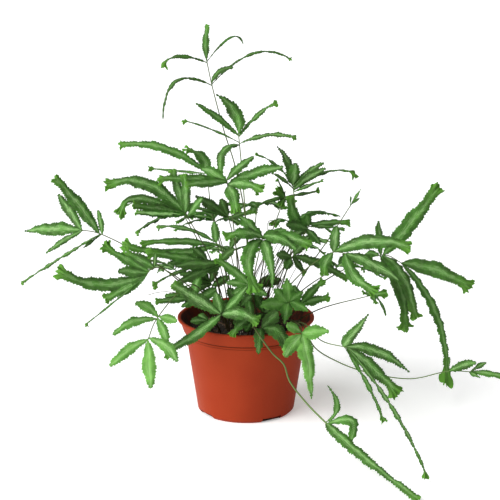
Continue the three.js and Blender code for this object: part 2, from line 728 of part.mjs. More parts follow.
// The leaflets of a whorl leave the stalk one a little below another, the most upright first. A frond
// may state how far its leaflets look to the front.
function frondMesh(frond) {
  const { front = FACE_FRONT, whorls } = frond;
  const stations = stalkStations(frond);
  let solid = stalk(stations);
  for (const { at, leaflets } of whorls) {
    const below = stations[stations.findIndex((place) => place.distanceTo(at) < MERGE) - 1];
    const down = below.clone().sub(at).normalize();
    const upright = ({ reach }) => -reach.dot(down) / reach.length();
    const order = [...leaflets].sort((a, b) => upright(b) - upright(a));
    order.forEach((one, rank) => {
      const root = at.clone().addScaledVector(down, STAGGER * rank);
      solid = solid.add(blade(root, front, { ...one, reach: at.clone().add(one.reach).sub(root) }));
    });
  }
  return meshOf(wholeOf(solid.simplify(MERGE)), frond.name, FINISH.frond);
}

const fronds = [...FRONDS, ...Array.from({ length: BACK_COUNT }, (_, i) => backFrond(i))];
const fern = new THREE.Group();
fern.add(pot());
fern.add(soil(fronds.map(({ foot }) => foot)));
for (const frond of fronds) fern.add(frondMesh(frond));

export default fern;
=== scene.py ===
import math
import random

import bpy
import numpy as np
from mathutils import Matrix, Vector


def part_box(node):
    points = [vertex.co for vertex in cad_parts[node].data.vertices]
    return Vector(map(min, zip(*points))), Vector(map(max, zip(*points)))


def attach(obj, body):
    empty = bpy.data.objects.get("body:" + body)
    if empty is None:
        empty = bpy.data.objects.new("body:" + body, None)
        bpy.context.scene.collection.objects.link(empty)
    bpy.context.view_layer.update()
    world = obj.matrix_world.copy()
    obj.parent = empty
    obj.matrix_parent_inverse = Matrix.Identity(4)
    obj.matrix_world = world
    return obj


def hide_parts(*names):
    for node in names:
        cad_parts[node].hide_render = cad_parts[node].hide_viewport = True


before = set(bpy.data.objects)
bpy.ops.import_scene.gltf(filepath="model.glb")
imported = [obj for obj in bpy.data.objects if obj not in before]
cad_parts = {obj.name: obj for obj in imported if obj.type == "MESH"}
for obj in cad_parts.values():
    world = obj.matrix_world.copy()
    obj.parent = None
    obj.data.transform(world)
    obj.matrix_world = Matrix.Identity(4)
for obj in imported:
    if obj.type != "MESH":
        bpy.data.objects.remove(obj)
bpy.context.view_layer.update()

# The pot is a six-inch azalea pot, injection moulded in terracotta-coloured polypropylene. Its wall
# tapers and steps out into a flared band under a rolled lip, and drain slots are moulded into the
# corner of its base. The outside has the fine satin grain of the mould.
MM = 0.001
pot_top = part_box("pot")[1]
RIM_RADIUS = pot_top[0]
POT_HEIGHT = pot_top[2]
BASE_RADIUS = 54 * MM
BASE_CORNER = 3 * MM
BASE_THICKNESS = 2 * MM
BAND_HEIGHT = 16 * MM
BAND_FOOT_RADIUS = RIM_RADIUS - 6.5 * MM
BAND_TOP_RADIUS = RIM_RADIUS - 2.5 * MM
WALL_TOP_RADIUS = RIM_RADIUS - 8.8 * MM
WALL = 1.6 * MM
LIP = 3 * MM
BEAD = 3 * MM
# Painted shade: dark lines round the pot at the band's foot and at the bead below it, each given by its
# height above the band's foot, its reach and its strength.
PAINTED_SHADE_LINES = ((0, 1.2 * MM, 0.85), (-BEAD, 0.9 * MM, 0.55))
POT_SIDES = 120
SLOT_COUNT = 4
SLOT_SIZE = (24 * MM, 11 * MM, 9 * MM)
SLOT_FIRST_TURN = math.radians(33)
SLOT_LINING_RADIUS = BASE_RADIUS - 3.6 * MM
POT_ROUNDING = 0.6 * MM
POT_LIT = (0.285, 0.037, 0.0125, 1)
POT_DULL = (0.255, 0.031, 0.011, 1)
POT_DUST = (0.3, 0.06, 0.018, 1)
# Painted shade: the dark red given to the inside of the wall and to the drain slots, with the soil stains
# laid over it.
POT_INSIDE_PAINTED_SHADE = (0.11, 0.014, 0.005, 1)
# Painted shade: the near-black red painted along the lines where the band's undercut and the bead cast their
# shadow.
POT_PAINTED_SHADE_LINE = (0.06, 0.009, 0.002, 1)
POT_STAIN = (0.03, 0.01, 0.005, 1)


def put(tree, kind, wires, **settings):
    """A new node, with a value or another node's socket on each input that wires names."""
    made = tree.nodes.new(kind)
    for name, value in settings.items():
        setattr(made, name, value)
    for name, value in wires.items():
        if isinstance(value, bpy.types.NodeSocket):
            tree.links.new(value, made.inputs[name])
        else:
            made.inputs[name].default_value = value
    return made


def blended(tree, share, first, second, way="MIX"):
    """The colour between two colours, or one colour laid on another in some other way."""
    mix = tree.nodes.new("ShaderNodeMix")
    mix.data_type = "RGBA"
    mix.blend_type = way
    for socket, value in ((mix.inputs[0], share), (mix.inputs[6], first), (mix.inputs[7], second)):
        if isinstance(value, bpy.types.NodeSocket):
            tree.links.new(value, socket)
        else:
            socket.default_value = value
    return mix.outputs[2]


def eased(tree, value, low, high, start=0.0, end=1.0):
    """A smooth step in a value between two marks."""
    step = put(tree, "ShaderNodeMapRange", {"Value": value, "From Min": low, "From Max": high,
                                            "To Min": start, "To Max": end}, interpolation_type="SMOOTHSTEP")
    return step.outputs[0]


def sums(tree, work, *values):
    """A sum, product or other piece of arithmetic on one, two or three values."""
    return put(tree, "ShaderNodeMath", dict(enumerate(values)), operation=work).outputs[0]


def speckle(tree, scale, detail=3.0, roughness=0.5):
    """Noise at a scale in features to the metre, fixed to the piece."""
    place = put(tree, "ShaderNodeTexCoord", {}).outputs["Object"]
    return put(tree, "ShaderNodeTexNoise", {"Vector": place, "Scale": scale, "Detail": detail,
                                            "Roughness": roughness}).outputs["Fac"]


def new_material(name, roughness=0.5, specular=0.5):
    """A material with its Principled shader, whose colour and bump are wired up later."""
    material = bpy.data.materials.new(name)
    material.use_nodes = True
    shader = material.node_tree.nodes["Principled BSDF"]
    shader.inputs["Roughness"].default_value = roughness
    shader.inputs["Specular IOR Level"].default_value = specular
    return material, material.node_tree, shader


def raised(tree, shader, height, depth):
    """Bump of a real depth in metres."""
    bump = put(tree, "ShaderNodeBump", {"Height": height, "Distance": depth, "Strength": 1.0})
    tree.links.new(bump.outputs[0], shader.inputs["Normal"])


def only(piece):
    """Selects one piece alone."""
    bpy.ops.object.select_all(action="DESELECT")
    piece.select_set(True)
    bpy.context.view_layer.objects.active = piece


band_foot = POT_HEIGHT - BAND_HEIGHT
pot_outline = [
    (BASE_RADIUS, BASE_CORNER),
    (WALL_TOP_RADIUS - 0.3 * MM, band_foot - BEAD),
    (WALL_TOP_RADIUS + 0.5 * MM, band_foot - 0.8 * BEAD),
    (WALL_TOP_RADIUS, band_foot),
    (BAND_FOOT_RADIUS, band_foot + 1 * MM),
    (BAND_TOP_RADIUS, POT_HEIGHT - LIP),
    (RIM_RADIUS, POT_HEIGHT - 0.7 * LIP),
    (RIM_RADIUS, POT_HEIGHT - 0.3 * LIP),
    (RIM_RADIUS - 0.3 * LIP, POT_HEIGHT),
    (BAND_TOP_RADIUS - WALL + 0.2 * LIP, POT_HEIGHT - 0.1 * LIP),
    (BAND_TOP_RADIUS - WALL, POT_HEIGHT - 0.6 * LIP),
    (BAND_FOOT_RADIUS - WALL, band_foot + 1 * MM + WALL),
    (WALL_TOP_RADIUS - WALL, band_foot),
    (BASE_RADIUS - WALL, BASE_CORNER + BASE_THICKNESS / 2),
    (BASE_RADIUS - BASE_CORNER - WALL, BASE_THICKNESS),
]
bpy.ops.object.select_all(action="DESELECT")
radius = BASE_RADIUS - BASE_CORNER
height = 0
bpy.ops.mesh.primitive_circle_add(vertices=POT_SIDES, radius=radius, fill_type="NGON")
pot = bpy.context.object
pot.name = "moulded_pot"
bpy.ops.object.mode_set(mode="EDIT")
bpy.ops.mesh.select_all(action="SELECT")
for next_radius, next_height in pot_outline:
    bpy.ops.mesh.extrude_region_move(TRANSFORM_OT_translate={"value": (0, 0, next_height - height)})
    bpy.ops.transform.resize(value=(next_radius / radius, next_radius / radius, 1))
    radius = next_radius
    height = next_height
bpy.ops.mesh.select_all(action="SELECT")
bpy.ops.mesh.normals_make_consistent(inside=False)
bpy.ops.object.mode_set(mode="OBJECT")
for i in range(SLOT_COUNT):
    turn = SLOT_FIRST_TURN + i * 2 * math.pi / SLOT_COUNT
    bpy.ops.mesh.primitive_cube_add(size=1, rotation=(0, 0, turn),
                                    location=(BASE_RADIUS * math.sin(turn), -BASE_RADIUS * math.cos(turn), 0))
    slot_cutter = bpy.context.object
    slot_cutter.scale = SLOT_SIZE
    only(pot)
    cut = pot.modifiers.new("drain slot", "BOOLEAN")
    cut.operation = "DIFFERENCE"
    cut.object = slot_cutter
    bpy.ops.object.modifier_apply(modifier=cut.name)
    bpy.data.objects.remove(slot_cutter)
only(pot)
rounding = pot.modifiers.new("moulded edges", "BEVEL")
rounding.width = POT_ROUNDING
rounding.segments = 3
rounding.limit_method = "ANGLE"
rounding.angle_limit = math.radians(28)
bpy.ops.object.modifier_apply(modifier=rounding.name)
bpy.ops.object.shade_smooth_by_angle(angle=math.radians(35))

plastic, tree, shader = new_material("terracotta_plastic", 0.5, 0.03)
flow = speckle(tree, 14, 2)
grain = speckle(tree, 1900, 2)
dust = eased(tree, speckle(tree, 210, 5, 0.7), 0.62, 0.78, 0, 0.35)
pot_colour = blended(tree, eased(tree, flow, 0.35, 0.65), POT_LIT, POT_DULL)
pot_colour = blended(tree, dust, pot_colour, POT_DUST)
height = put(tree, "ShaderNodeSeparateXYZ", {
    "Vector": put(tree, "ShaderNodeTexCoord", {}).outputs["Object"]}).outputs["Z"]
# Painted shade: the colour is darkened along each line, as the shadow under the band's foot and in the bead's
# groove would darken it.
for above, reach, strength in PAINTED_SHADE_LINES:
    apart = sums(tree, "ABSOLUTE", sums(tree, "SUBTRACT", height, band_foot + above))
    pot_colour = blended(tree, eased(tree, apart, reach, 0.2 * reach, 0, strength), pot_colour, POT_PAINTED_SHADE_LINE)
tree.links.new(pot_colour, shader.inputs["Base Color"])
tree.links.new(eased(tree, flow, 0.3, 0.7, 0.42, 0.56), shader.inputs["Roughness"])
raised(tree, shader, grain, 0.06 * MM)
pot.data.materials.append(plastic)

# The inside of the wall is the same plastic, stained by wet soil and painted dark as shade: painted shade for
# the inner wall that the foliage shades, and for the drain slots that look into the dark inside of the pot.
# It is given to the faces over the soil that look in to the pot's axis, and to those in the drain slots.
stain_and_shade, tree, shader = new_material("stained_plastic_painted_shade", 0.55, 0.1)
stain = eased(tree, speckle(tree, 60, 4, 0.65), 0.42, 0.6)
tree.links.new(blended(tree, stain, POT_INSIDE_PAINTED_SHADE, POT_STAIN), shader.inputs["Base Color"])
pot.data.materials.append(stain_and_shade)
for polygon in pot.data.polygons:
    looks_in = polygon.normal.x * polygon.center.x + polygon.normal.y * polygon.center.y < 0
    lining = looks_in and BASE_THICKNESS < polygon.center.z < POT_HEIGHT - 0.5 * LIP
    in_slot = polygon.center.xy.length < SLOT_LINING_RADIUS and 0 < polygon.center.z < SLOT_SIZE[2] / 2
    polygon.material_index = int(lining or in_slot)
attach(pot, "root")
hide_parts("pot")

# The soil is a moist peat mix that fills the pot to just under its band. Its lumpy top is mounded
# round the plant's crown, with white grains of perlite, chips of bark and loose crumbs of peat on it.
soil_low, soil_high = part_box("soil")
SOIL_RADIUS = soil_high[0]
SOIL_FOOT = soil_low[2]
SOIL_MIDDLE = soil_high[2]
SOIL_EDGE = 92 * MM
SOIL_FOOT_RADIUS = 52 * MM
SOIL_SIDES = 72
SOIL_RINGS = 13
SOIL_LUMP = 3.2 * MM
SOIL_CRUMB = 1.1 * MM
GRAIN_KINDS = {
    "perlite": {"count": 90, "size": (0.4 * MM, 1.1 * MM), "flat": (0.7, 1.0)},
    "bark": {"count": 240, "size": (1.0 * MM, 2.8 * MM), "flat": (0.2, 0.45)},
    "peat": {"count": 420, "size": (0.5 * MM, 1.4 * MM), "flat": (0.6, 1.0)},
}
GRAIN_SEED = 4
PEAT_DARK = (0.008, 0.005, 0.003, 1)
PEAT_BROWN = (0.045, 0.026, 0.014, 1)
PERLITE_GREY = (0.42, 0.38, 0.31, 1)
PERLITE_WHITE = (0.8, 0.77, 0.7, 1)
BARK_DARK = (0.06, 0.028, 0.014, 1)
BARK_TAN = (0.2, 0.11, 0.055, 1)


def soil_height(x, y):
    """The soil's height at a place, in metres: a cone from its middle down to its edge."""
    return SOIL_MIDDLE - (SOIL_MIDDLE - SOIL_EDGE) * min(1, math.hypot(x, y) / SOIL_RADIUS)


def lumpy(piece, name, size, strength):
    """Clouds of a size pushed along the surface, and applied."""
    clouds = bpy.data.textures.new(name, "CLOUDS")
    clouds.noise_scale = size
    clouds.noise_depth = 3
    push = piece.modifiers.new(name, "DISPLACE")
    push.texture = clouds
    push.texture_coords = "LOCAL"
    push.strength = strength
    push.mid_level = 0.5
    only(piece)
    bpy.ops.object.modifier_apply(modifier=push.name)


bpy.ops.object.select_all(action="DESELECT")
bpy.ops.mesh.primitive_circle_add(vertices=SOIL_SIDES, radius=SOIL_FOOT_RADIUS, fill_type="NGON",
                                  location=(0, 0, SOIL_FOOT))
soil = bpy.context.object
soil.name = "potting_soil"
bpy.ops.object.transform_apply(location=True)
bpy.ops.object.mode_set(mode="EDIT")
bpy.ops.mesh.select_all(action="SELECT")
bpy.ops.mesh.extrude_region_move(TRANSFORM_OT_translate={"value": (0, 0, SOIL_EDGE - SOIL_FOOT)})
bpy.ops.transform.resize(value=(SOIL_RADIUS / SOIL_FOOT_RADIUS, SOIL_RADIUS / SOIL_FOOT_RADIUS, 1))
for ring in range(SOIL_RINGS):
    bpy.ops.mesh.inset(thickness=SOIL_RADIUS / (SOIL_RINGS + 1), depth=0)
bpy.ops.mesh.poke()
bpy.ops.object.mode_set(mode="OBJECT")
for vertex in soil.data.vertices:
    if vertex.co.z > SOIL_EDGE - MM:
        vertex.co.z = soil_height(vertex.co.x, vertex.co.y)
only(soil)
finer = soil.modifiers.new("finer", "SUBSURF")
finer.subdivision_type = "SIMPLE"
finer.levels = 2
finer.render_levels = 2
bpy.ops.object.modifier_apply(modifier=finer.name)
lumpy(soil, "lumps", 9 * MM, SOIL_LUMP)
lumpy(soil, "crumbs", 2.2 * MM, SOIL_CRUMB)
bpy.ops.object.shade_smooth()

dice = random.Random(GRAIN_SEED)
grains = {}
for kind, shape in GRAIN_KINDS.items():
    bpy.ops.object.select_all(action="DESELECT")
    bpy.ops.mesh.primitive_ico_sphere_add(subdivisions=1, radius=1)
    first = bpy.context.object
    first.name = kind
    crowd = [first]
    for k in range(shape["count"] - 1):
        twin = first.copy()
        twin.data = first.data.copy()
        bpy.context.collection.objects.link(twin)
        crowd.append(twin)
    for grain_piece in crowd:
        far = (SOIL_RADIUS - 2 * MM) * math.sqrt(dice.random())
        turn = dice.uniform(0, 2 * math.pi)
        x = far * math.cos(turn)
        y = far * math.sin(turn)
        size = dice.uniform(*shape["size"])
        for vertex in grain_piece.data.vertices:
            vertex.co *= dice.uniform(0.75, 1.2)
        grain_piece.location = (x, y, soil_height(x, y) + 0.3 * size)
        grain_piece.rotation_euler = (dice.uniform(-0.5, 0.5), dice.uniform(-0.5, 0.5), turn)
        grain_piece.scale = (size, size * dice.uniform(0.5, 1), size * dice.uniform(*shape["flat"]))
        grain_piece.select_set(True)
    bpy.context.view_layer.objects.active = first
    bpy.ops.object.join()
    bpy.ops.object.transform_apply(location=True, rotation=True, scale=True)
    grains[kind] = first

peat, tree, shader = new_material("peat", 0.9)
clods = speckle(tree, 320, 5, 0.65)
peat_colour = blended(tree, eased(tree, clods, 0.35, 0.7), PEAT_DARK, PEAT_BROWN)
tree.links.new(peat_colour, shader.inputs["Base Color"])
raised(tree, shader, speckle(tree, 1500, 4, 0.7), 0.5 * MM)
perlite, tree, shader = new_material("perlite", 0.85)
tree.links.new(blended(tree, speckle(tree, 700), PERLITE_GREY, PERLITE_WHITE), shader.inputs["Base Color"])
raised(tree, shader, speckle(tree, 2500), 0.15 * MM)
bark, tree, shader = new_material("bark", 0.8)
tree.links.new(blended(tree, speckle(tree, 400), BARK_DARK, BARK_TAN), shader.inputs["Base Color"])
raised(tree, shader, speckle(tree, 1200), 0.2 * MM)
soil.data.materials.append(peat)
for kind, finish in (("perlite", perlite), ("bark", bark), ("peat", peat)):
    grains[kind].data.materials.append(finish)
    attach(grains[kind], "root")
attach(soil, "root")
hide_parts("soil")

# The fronds grow from the crown on wiry stalks, each sunk in the soil. Their plan is in
# millimetres, as in the part's source: where a stalk stands, points that it is led over, and its whorls,
# with each leaflet's tip from the whorl, its width, its crest and the bow of its midrib.
# How far a frond is from deep to fresh green, and how silvery it is along its midribs
GREENS = {
    "fresh": (0.85, 0.9),
    "leafy": (0.66, 0.45),
    "bright": (0.5, 1.0),
    "mid": (0.38, 0.65),
    "silver": (0.36, 1.1),
    "deep": (0.18, 0.35),
}
FRONDS = []


def leaf(right, back, up, width, crest=0, bow=2, front=None, form=None):
    """A leaflet's plan; a bow that is one number is upwards."""
    bow = bow if isinstance(bow, tuple) else (0, 0, bow)
    return {"reach": np.array((right, back, up), float), "width": width, "crest": crest,
            "bow": np.array(bow, float), "front": front, "form": form}


def whorl(right, back, up, leaflets):
    """A place on the stalk from which leaflets spread."""
    return np.array((right, back, up), float), leaflets


def frond(name, greens, foot, over, whorls, front=0.9, form="strap", stalk=0.5, thick=1):
    """Plans a frond: how far its leaflets face forward, their outline, how pale and thick its stalk is."""
    FRONDS.append({"name": name, "greens": GREENS[greens], "foot": foot, "over": over, "whorls": whorls,
                   "front": front, "form": form, "stalk": stalk, "thick": thick})


frond("leader", "deep", (-3, 14), [(2, 12, 190), (-11, 10, 272), (-24, 10, 315)], [
    whorl(-37, 10, 366, [
        leaf(-52, -15, -37, 6, 0, (-25, 0, 46)),
        leaf(24, -12, 19, 8, 0, (-8, 0, 8)),
        leaf(87, -4, 25, 5, 5, (4, 0, 42)),
    ]),
    whorl(-42, 8, 391, [
        leaf(1, 0, 39, 9, 2, (-3, 0, 2), form="blunt"),
        leaf(-48, -10, -5, 6, 8, (-12, 0, 18)),
        leaf(39, 6, 17, 4, 0, (12, 0, 33)),
    ]),
], stalk=0.3)
frond("second_leader", "mid", (4, 6), [], [
    whorl(-7, 0, 303, [
        leaf(-62, 4, 24, 3, 7, 5),
        leaf(62, -15, 8, 7, 6, 13),
        leaf(-19, -14, -36, 13, 0, (-17, -8, 22)),
    ]),
    whorl(-8, 0, 312, [
        leaf(-24, -8, 45, 15, 0, (17, 0, 4), form="pointed"),
        leaf(-46, 0, 34, 8, 0, 5),
        leaf(42, 0, 35, 7, 6, (-2, 0, 9)),
    ]),
], stalk=0.9)
frond("star_high", "bright", (-6, -6), [], [
    whorl(-20, -50, 272, [
        leaf(-74, -12, 4, 12, 9, 4),
        leaf(-43, -24, 0, 11, 4),
        leaf(-27, 14, 9, 12, 0, 6),
        leaf(29, 12, 23, 11, 0, 6),
        leaf(60, -2, 15, 12, 0, 6),
        leaf(39, -22, -9, 12, 9, 12),
        leaf(11, -24, -33, 15, 6, 14),
    ]),
])
frond("upper_left", "bright", (-16, 16), [(-24, 30, 160), (-38, 38, 215)], [
    whorl(-43, 25, 266, [
        leaf(-98, 4, 28, 11, 6, 26),
        leaf(-29, -6, 28, 15, 9, (14, 0, 9)),
        leaf(-67, 18, 0, 4, 9, 0),
    ]),
])
frond("left_fan", "silver", (-22, -8), [], [
    whorl(-64, -62, 240, [
        leaf(-86, 6, 26, 15, 11, 39),
        leaf(-66, -16, -3, 9, 13, (-37, -7, 44), front=3),
        leaf(-54, -28, 14, 12, 5),
        leaf(-50, -38, 9, 9, 3, 0, front=-2),
        leaf(-14, 12, 44, 10, 4),
        leaf(-2, 0, 42, 11, 4, (4, 0, 0)),
        leaf(19, -10, 18, 9),
    ]),
], stalk=0.2)
frond("far_left", "silver", (-34, 0), [], [
    whorl(-164, 32, 194, [
        leaf(-47, -20, 69, 14, 6, (4, 0, 2), front=2),
        leaf(0, -4, 28, 8),
        leaf(-86, -30, -50, 7, 4),
        leaf(-18, -4, -16, 5, 0, 1),
    ]),
    whorl(-185, 36, 197, [
        leaf(-27, 22, 36, 12, front=2),
        leaf(-66, 24, -7, 16, 0, 4, front=2, form="pointed"),
        leaf(-38, -16, -23, 8, 0, 4),
    ]),
], stalk=0.1)
frond("left_low", "mid", (-30, -18), [], [
    whorl(-96, -96, 189, [
        leaf(-34, 10, 15, 12, 8),
        leaf(2, 4, 15, 5, 0, 0),
    ]),
    whorl(-104, -98, 181, [
        leaf(-48, 12, 31, 11, 11, -2),
        leaf(-95, -14, 11, 15, 12, (0, 0, -29)),
        leaf(-29, -4, 6, 11, 0, 0, form="blunt"),
        leaf(-44, -14, -22, 12, 6, (0, 0, -4)),
        leaf(-63, -30, -46, 3, 5, (4, 0, 2)),
    ]),
])
frond("pale_low_left", "fresh", (-28, -26), [(-58, -73, 164)], [
    whorl(-94, -90, 131, [
        leaf(-23, 6, 16, 11, 0, (2, 0, 6)),
        leaf(-46, -8, -15, 12, 0, (-4, 0, 11)),
        leaf(22, -10, 0, 10, 0, 1),
        leaf(12, -14, -22, 11),
    ]),
    whorl(-103, -101, 111, [
        leaf(-40, -6, -27, 12, 0, (-2, 0, 6)),
        leaf(3, -16, -48, 15, 0, (0, -4, 4)),
        leaf(32, -14, -19, 12, 0, (6, 0, 7)),
    ]),
], form="blunt")
frond("front_left", "silver", (-10, -34), [], [
    whorl(-27, -84, 135, [
        leaf(-51, 2, 32, 15, 4, (-2, 0, 2)),
        leaf(-5, 6, 23, 11, 0, 0),
        leaf(29, 8, 28, 10, 0, 0),
        leaf(42, -16, -5, 14, 7, 11),
        leaf(-63, -2, -42, 12, 11, -10),
    ]),
])
frond("star_right", "leafy", (22, -20), [], [
    whorl(48, -50, 139, [
        leaf(-33, -10, -3, 17),
        leaf(-18, 6, 12, 14),
        leaf(-4, 8, 24, 12),
        leaf(14, 6, 9, 11),
        leaf(19, -10, -8, 12),
        leaf(-7, -18, -20, 13, 0, 6),
    ]),
], form="pointed")
frond("front_right", "fresh", (26, -38), [(42, -50, 118), (58, -70, 118)], [
    whorl(59, -88, 113, [
        leaf(29, -8, 6, 16, form="pointed"),
        leaf(-18, -16, -20, 16, 0, 6),
        leaf(10, -20, -65, 17, 0, (4, -12, 8), form="lance"),
        leaf(-16, -2, 12, 11),
    ]),
], form="blunt")
frond("trailing", "bright", (6, -40), [
    (9, -80, 118), (19, -93, 107), (29, -99, 95), (40, -105, 86), (46, -109, 69), (64, -124, 49),
], [
    whorl(84, -150, 36, [
        leaf(84, -122, -32, 12, 4, (-8, 0, 0), form="lance"),
        leaf(0, -2, 43, 7, 0, (22, 0, -8)),
        leaf(21, -26, -14, 12, 0, (28, -4, 30)),
    ]),
], stalk=1, thick=1.9)
frond("right_low", "silver", (34, -30), [(61, -61, 118), (80, -86, 106)], [
    whorl(106, -110, 106, [
        leaf(22, -5, 38, 12, 0, (-4, 0, -4), form="lance"),
        leaf(66, -4, -26, 13, 0, 18, form="pointed"),
        leaf(55, -26, -46, 16, 12, 8),
        leaf(36, -50, -65, 6, 10, (10, 0, -4)),
        leaf(75, -115, -99, 6, 8, (15, 0, 2)),
    ]),
], stalk=0.9)
frond("runner", "bright", (38, -18), [
    (59, -47, 115), (74, -66, 92), (98, -75, 79), (128, -80, 69), (176, -88, 64),
], [
    whorl(216, -92, 74, [
        leaf(28, -6, 11, 10, 0, 4),
        leaf(0, 2, 15, 6, 0, 0),
    ]),
    whorl(240, -92, 73, [
        leaf(16, 4, 9, 6),
        leaf(40, -6, -6, 8, 0, 4),
        leaf(8, -8, -4, 7, 0, 0),
    ]),
], stalk=1)
frond("right_fan", "mid", (30, -8), [], [
    whorl(152, 10, 175, [
        leaf(64, 20, 76, 18, 12, -4),
        leaf(-6, 4, 38, 10, 0, 0),
        leaf(-20, 10, -2, 14, 0, 4),
        leaf(24, -34, -84, 17, 12, (14, -6, 22)),
        leaf(34, -44, -66, 17, 9, (9, -6, 26)),
    ]),
    whorl(173, 12, 165, [
        leaf(77, -30, -23, 18, 12, 14, front=2.5),
        leaf(50, -24, -144, 13, 28, (34, 0, 18)),
    ]),
])
frond("right_centre", "silver", (24, -14), [], [
    whorl(93, -86, 203, [
        leaf(2, 6, 27, 12, 0, 0),
        leaf(-10, -8, -26, 12, 6, (-8, 0, 4)),
        leaf(81, -10, 6, 16, 9, 20),
    ]),
    whorl(105, -90, 202, [
        leaf(54, -16, -24, 15, 0, 6),
        leaf(36, -22, -38, 14, 11, (-16, -4, -6)),
    ]),
])
frond("upper_right", "silver", (26, 4), [(46, 14, 160), (55, 28, 213)], [
    whorl(52, 34, 250, [
        leaf(-18, -2, 43, 13, 0, (9, 0, 3), front=3, form="lance"),
        leaf(3, -10, 26, 12, front=3),
        leaf(34, -4, 25, 11, 0, 6, form="blunt"),
        leaf(74, 6, 10, 5, 12, 24),
        leaf(34, -8, 6, 6, 4),
        leaf(-43, 6, 33, 6, 5, (8, 0, 10)),
        leaf(-24, -8, 14, 6, 0, (2, 0, 4)),
        leaf(36, -12, 20, 9, 0, 6, front=2),
    ]),
], stalk=0.9)
frond("small_dark", "deep", (10, 20), [], [
    whorl(44, 52, 233, [
        leaf(40, 4, 5, 5, 6, -1),
        leaf(-12, -6, 10, 11, 11, 0, front=3),
        leaf(-6, -6, -12, 8, 8, 0),
        leaf(-25, -2, -8, 5),
        leaf(-9, -2, 20, 3, 4, 0),
    ]),
])
frond("right_inner", "mid", (26, 13), [], [
    whorl(71, 28, 205, [
        leaf(46, -4, 4, 10, 8),
        leaf(-5, -4, 13, 15, 0, 0, front=2.5),
        leaf(39, -12, -3, 7, 3, 4),
        leaf(-22, -13, 37, 13, 3, (-11, -2, -11), front=3),
        leaf(-27, -24, 6, 12, front=2),
        leaf(12, -12, -20, 12),
    ]),
])
frond("star_centre", "bright", (4, -22), [], [
    whorl(18, -90, 221, [
        leaf(-42, -14, -1, 14, 9, 14),
        leaf(51, -14, -6, 15, 8, 8),
        leaf(10, -16, -52, 13, 0, (4, -12, 16), form="lance"),
        leaf(-3, -32, -60, 15, 11, (-27, -8, 24)),
        leaf(-25, 16, 17, 13, 0, 4),
        leaf(25, 16, 3, 12, 0, 4),
        leaf(34, -22, -9, 13, 0, 10),
    ]),
])
frond("mid_dark", "deep", (-4, 24), [(-9, 26, 168)], [
    whorl(-20, 26, 216, [
        leaf(-36, -8, 24, 12, front=2),
        leaf(-8, 0, 19, 11, 0, 0),
        leaf(27, -4, 6, 11, 4),
        leaf(-38, 2, 9, 7, 3),
    ]),
])
frond("young", "bright", (40, 14), [(62, 4, 150), (92, 4, 196)], [
    whorl(117, 26, 229, [
        leaf(10, 0, 17, 3, 0, 0),
        leaf(-1, -4, 10, 3, 0, 0),
        leaf(9, 4, 6, 3, 0, 0),
    ]),
])
frond("left_mid", "mid", (-14, -8), [], [
    whorl(-32, -20, 197, [
        leaf(-85, 0, -2, 9, 10, 8),
        leaf(-3, 4, 22, 11, 0, 0),
        leaf(-66, 10, 14, 6, 5, 15),
        leaf(-104, -14, 3, 11, 12, (0, 0, -22)),
    ]),
])
frond("left_bush_high", "mid", (-20, -18), [], [
    whorl(-41, -42, 181, [
        leaf(-66, -14, 14, 11, 9),
        leaf(-43, -8, 1, 10),
        leaf(-30, 8, -8, 12),
        leaf(-16, -10, 18, 10),
    ]),
])
frond("left_bush_low", "deep", (-18, -28), [], [
    whorl(-28, -52, 183, [
        leaf(-48, -8, -2, 11),
        leaf(-75, -4, -27, 5, 9, (0, 0, 14)),
        leaf(-51, 2, -26, 11),
        leaf(-13, 3, -12, 10),
        leaf(16, -10, 18, 10),
    ]),
])
frond("left_skirt", "mid", (-42, -10), [], [
    whorl(-58, -14, 134, [
        leaf(-42, -8, -4, 9, 5),
        leaf(-32, 8, -2, 12),
        leaf(6, 4, 22, 13, 0, 0),
        leaf(26, 0, 8, 13),
        leaf(-12, -10, -10, 12),
        leaf(-22, 4, 13, 9, 5),
    ]),
], form="blunt")
frond("cross", "bright", (13, -30), [], [
    whorl(4, -66, 162, [
        leaf(-36, -6, 31, 11, 8, (-2, 0, 4)),
        leaf(-25, -6, 4, 9),
        leaf(-18, -2, -10, 12),
        leaf(18, -8, -10, 11),
    ]),
])
frond("rim_front", "deep", (14, -48), [], [
    whorl(17, -66, 113, [
        leaf(-4, -19, -23, 11, 0, (0, -10, 21)),
        leaf(30, -19, -21, 16, 0, (4, -8, 22)),
        leaf(18, -2, 20, 15),
    ]),
], form="blunt")
frond("core_middle", "deep", (-2, -24), [], [
    whorl(-6, -36, 130, [
        leaf(-22, -12, 3, 13),
        leaf(-14, 4, 18, 12),
        leaf(13, -10, 14, 11),
        leaf(11, -9, -15, 9),
        leaf(-4, -24, -18, 10),
    ]),
], form="blunt")
frond("core_right", "deep", (24, -24), [], [
    whorl(19, -38, 123, [
        leaf(-13, -17, -6, 9),
        leaf(-9, 4, 20, 12),
        leaf(16, -4, 12, 12),
        leaf(13, -14, -11, 12),
    ]),
], form="blunt")
frond("core_back", "deep", (8, 32), [], [
    whorl(14, 30, 134, [
        leaf(-17, -1, 4, 12),
        leaf(-21, 4, 13, 12),
        leaf(16, 8, 10, 11),
        leaf(26, 14, 4, 14, 0, 4),
    ]),
], form="blunt")
frond("right_tuft", "mid", (46, -5), [], [
    whorl(60, -24, 129, [
        leaf(26, 0, 27, 10, 6),
        leaf(33, -6, 9, 12, 7),
        leaf(-8, 2, 20, 11, 0, 0),
        leaf(-22, -2, 4, 13),
    ]),
])
frond("wiry_right", "bright", (44, -14), [], [
    whorl(140, -34, 142, [
        leaf(15, -2, 2, 10, 10, 0),
        leaf(12, -6, -23, 5, 0, (4, 0, 4)),
        leaf(-15, -4, 4, 7, 5, 0),
        leaf(2, -8, -9, 7, 5, 0),
    ]),
])
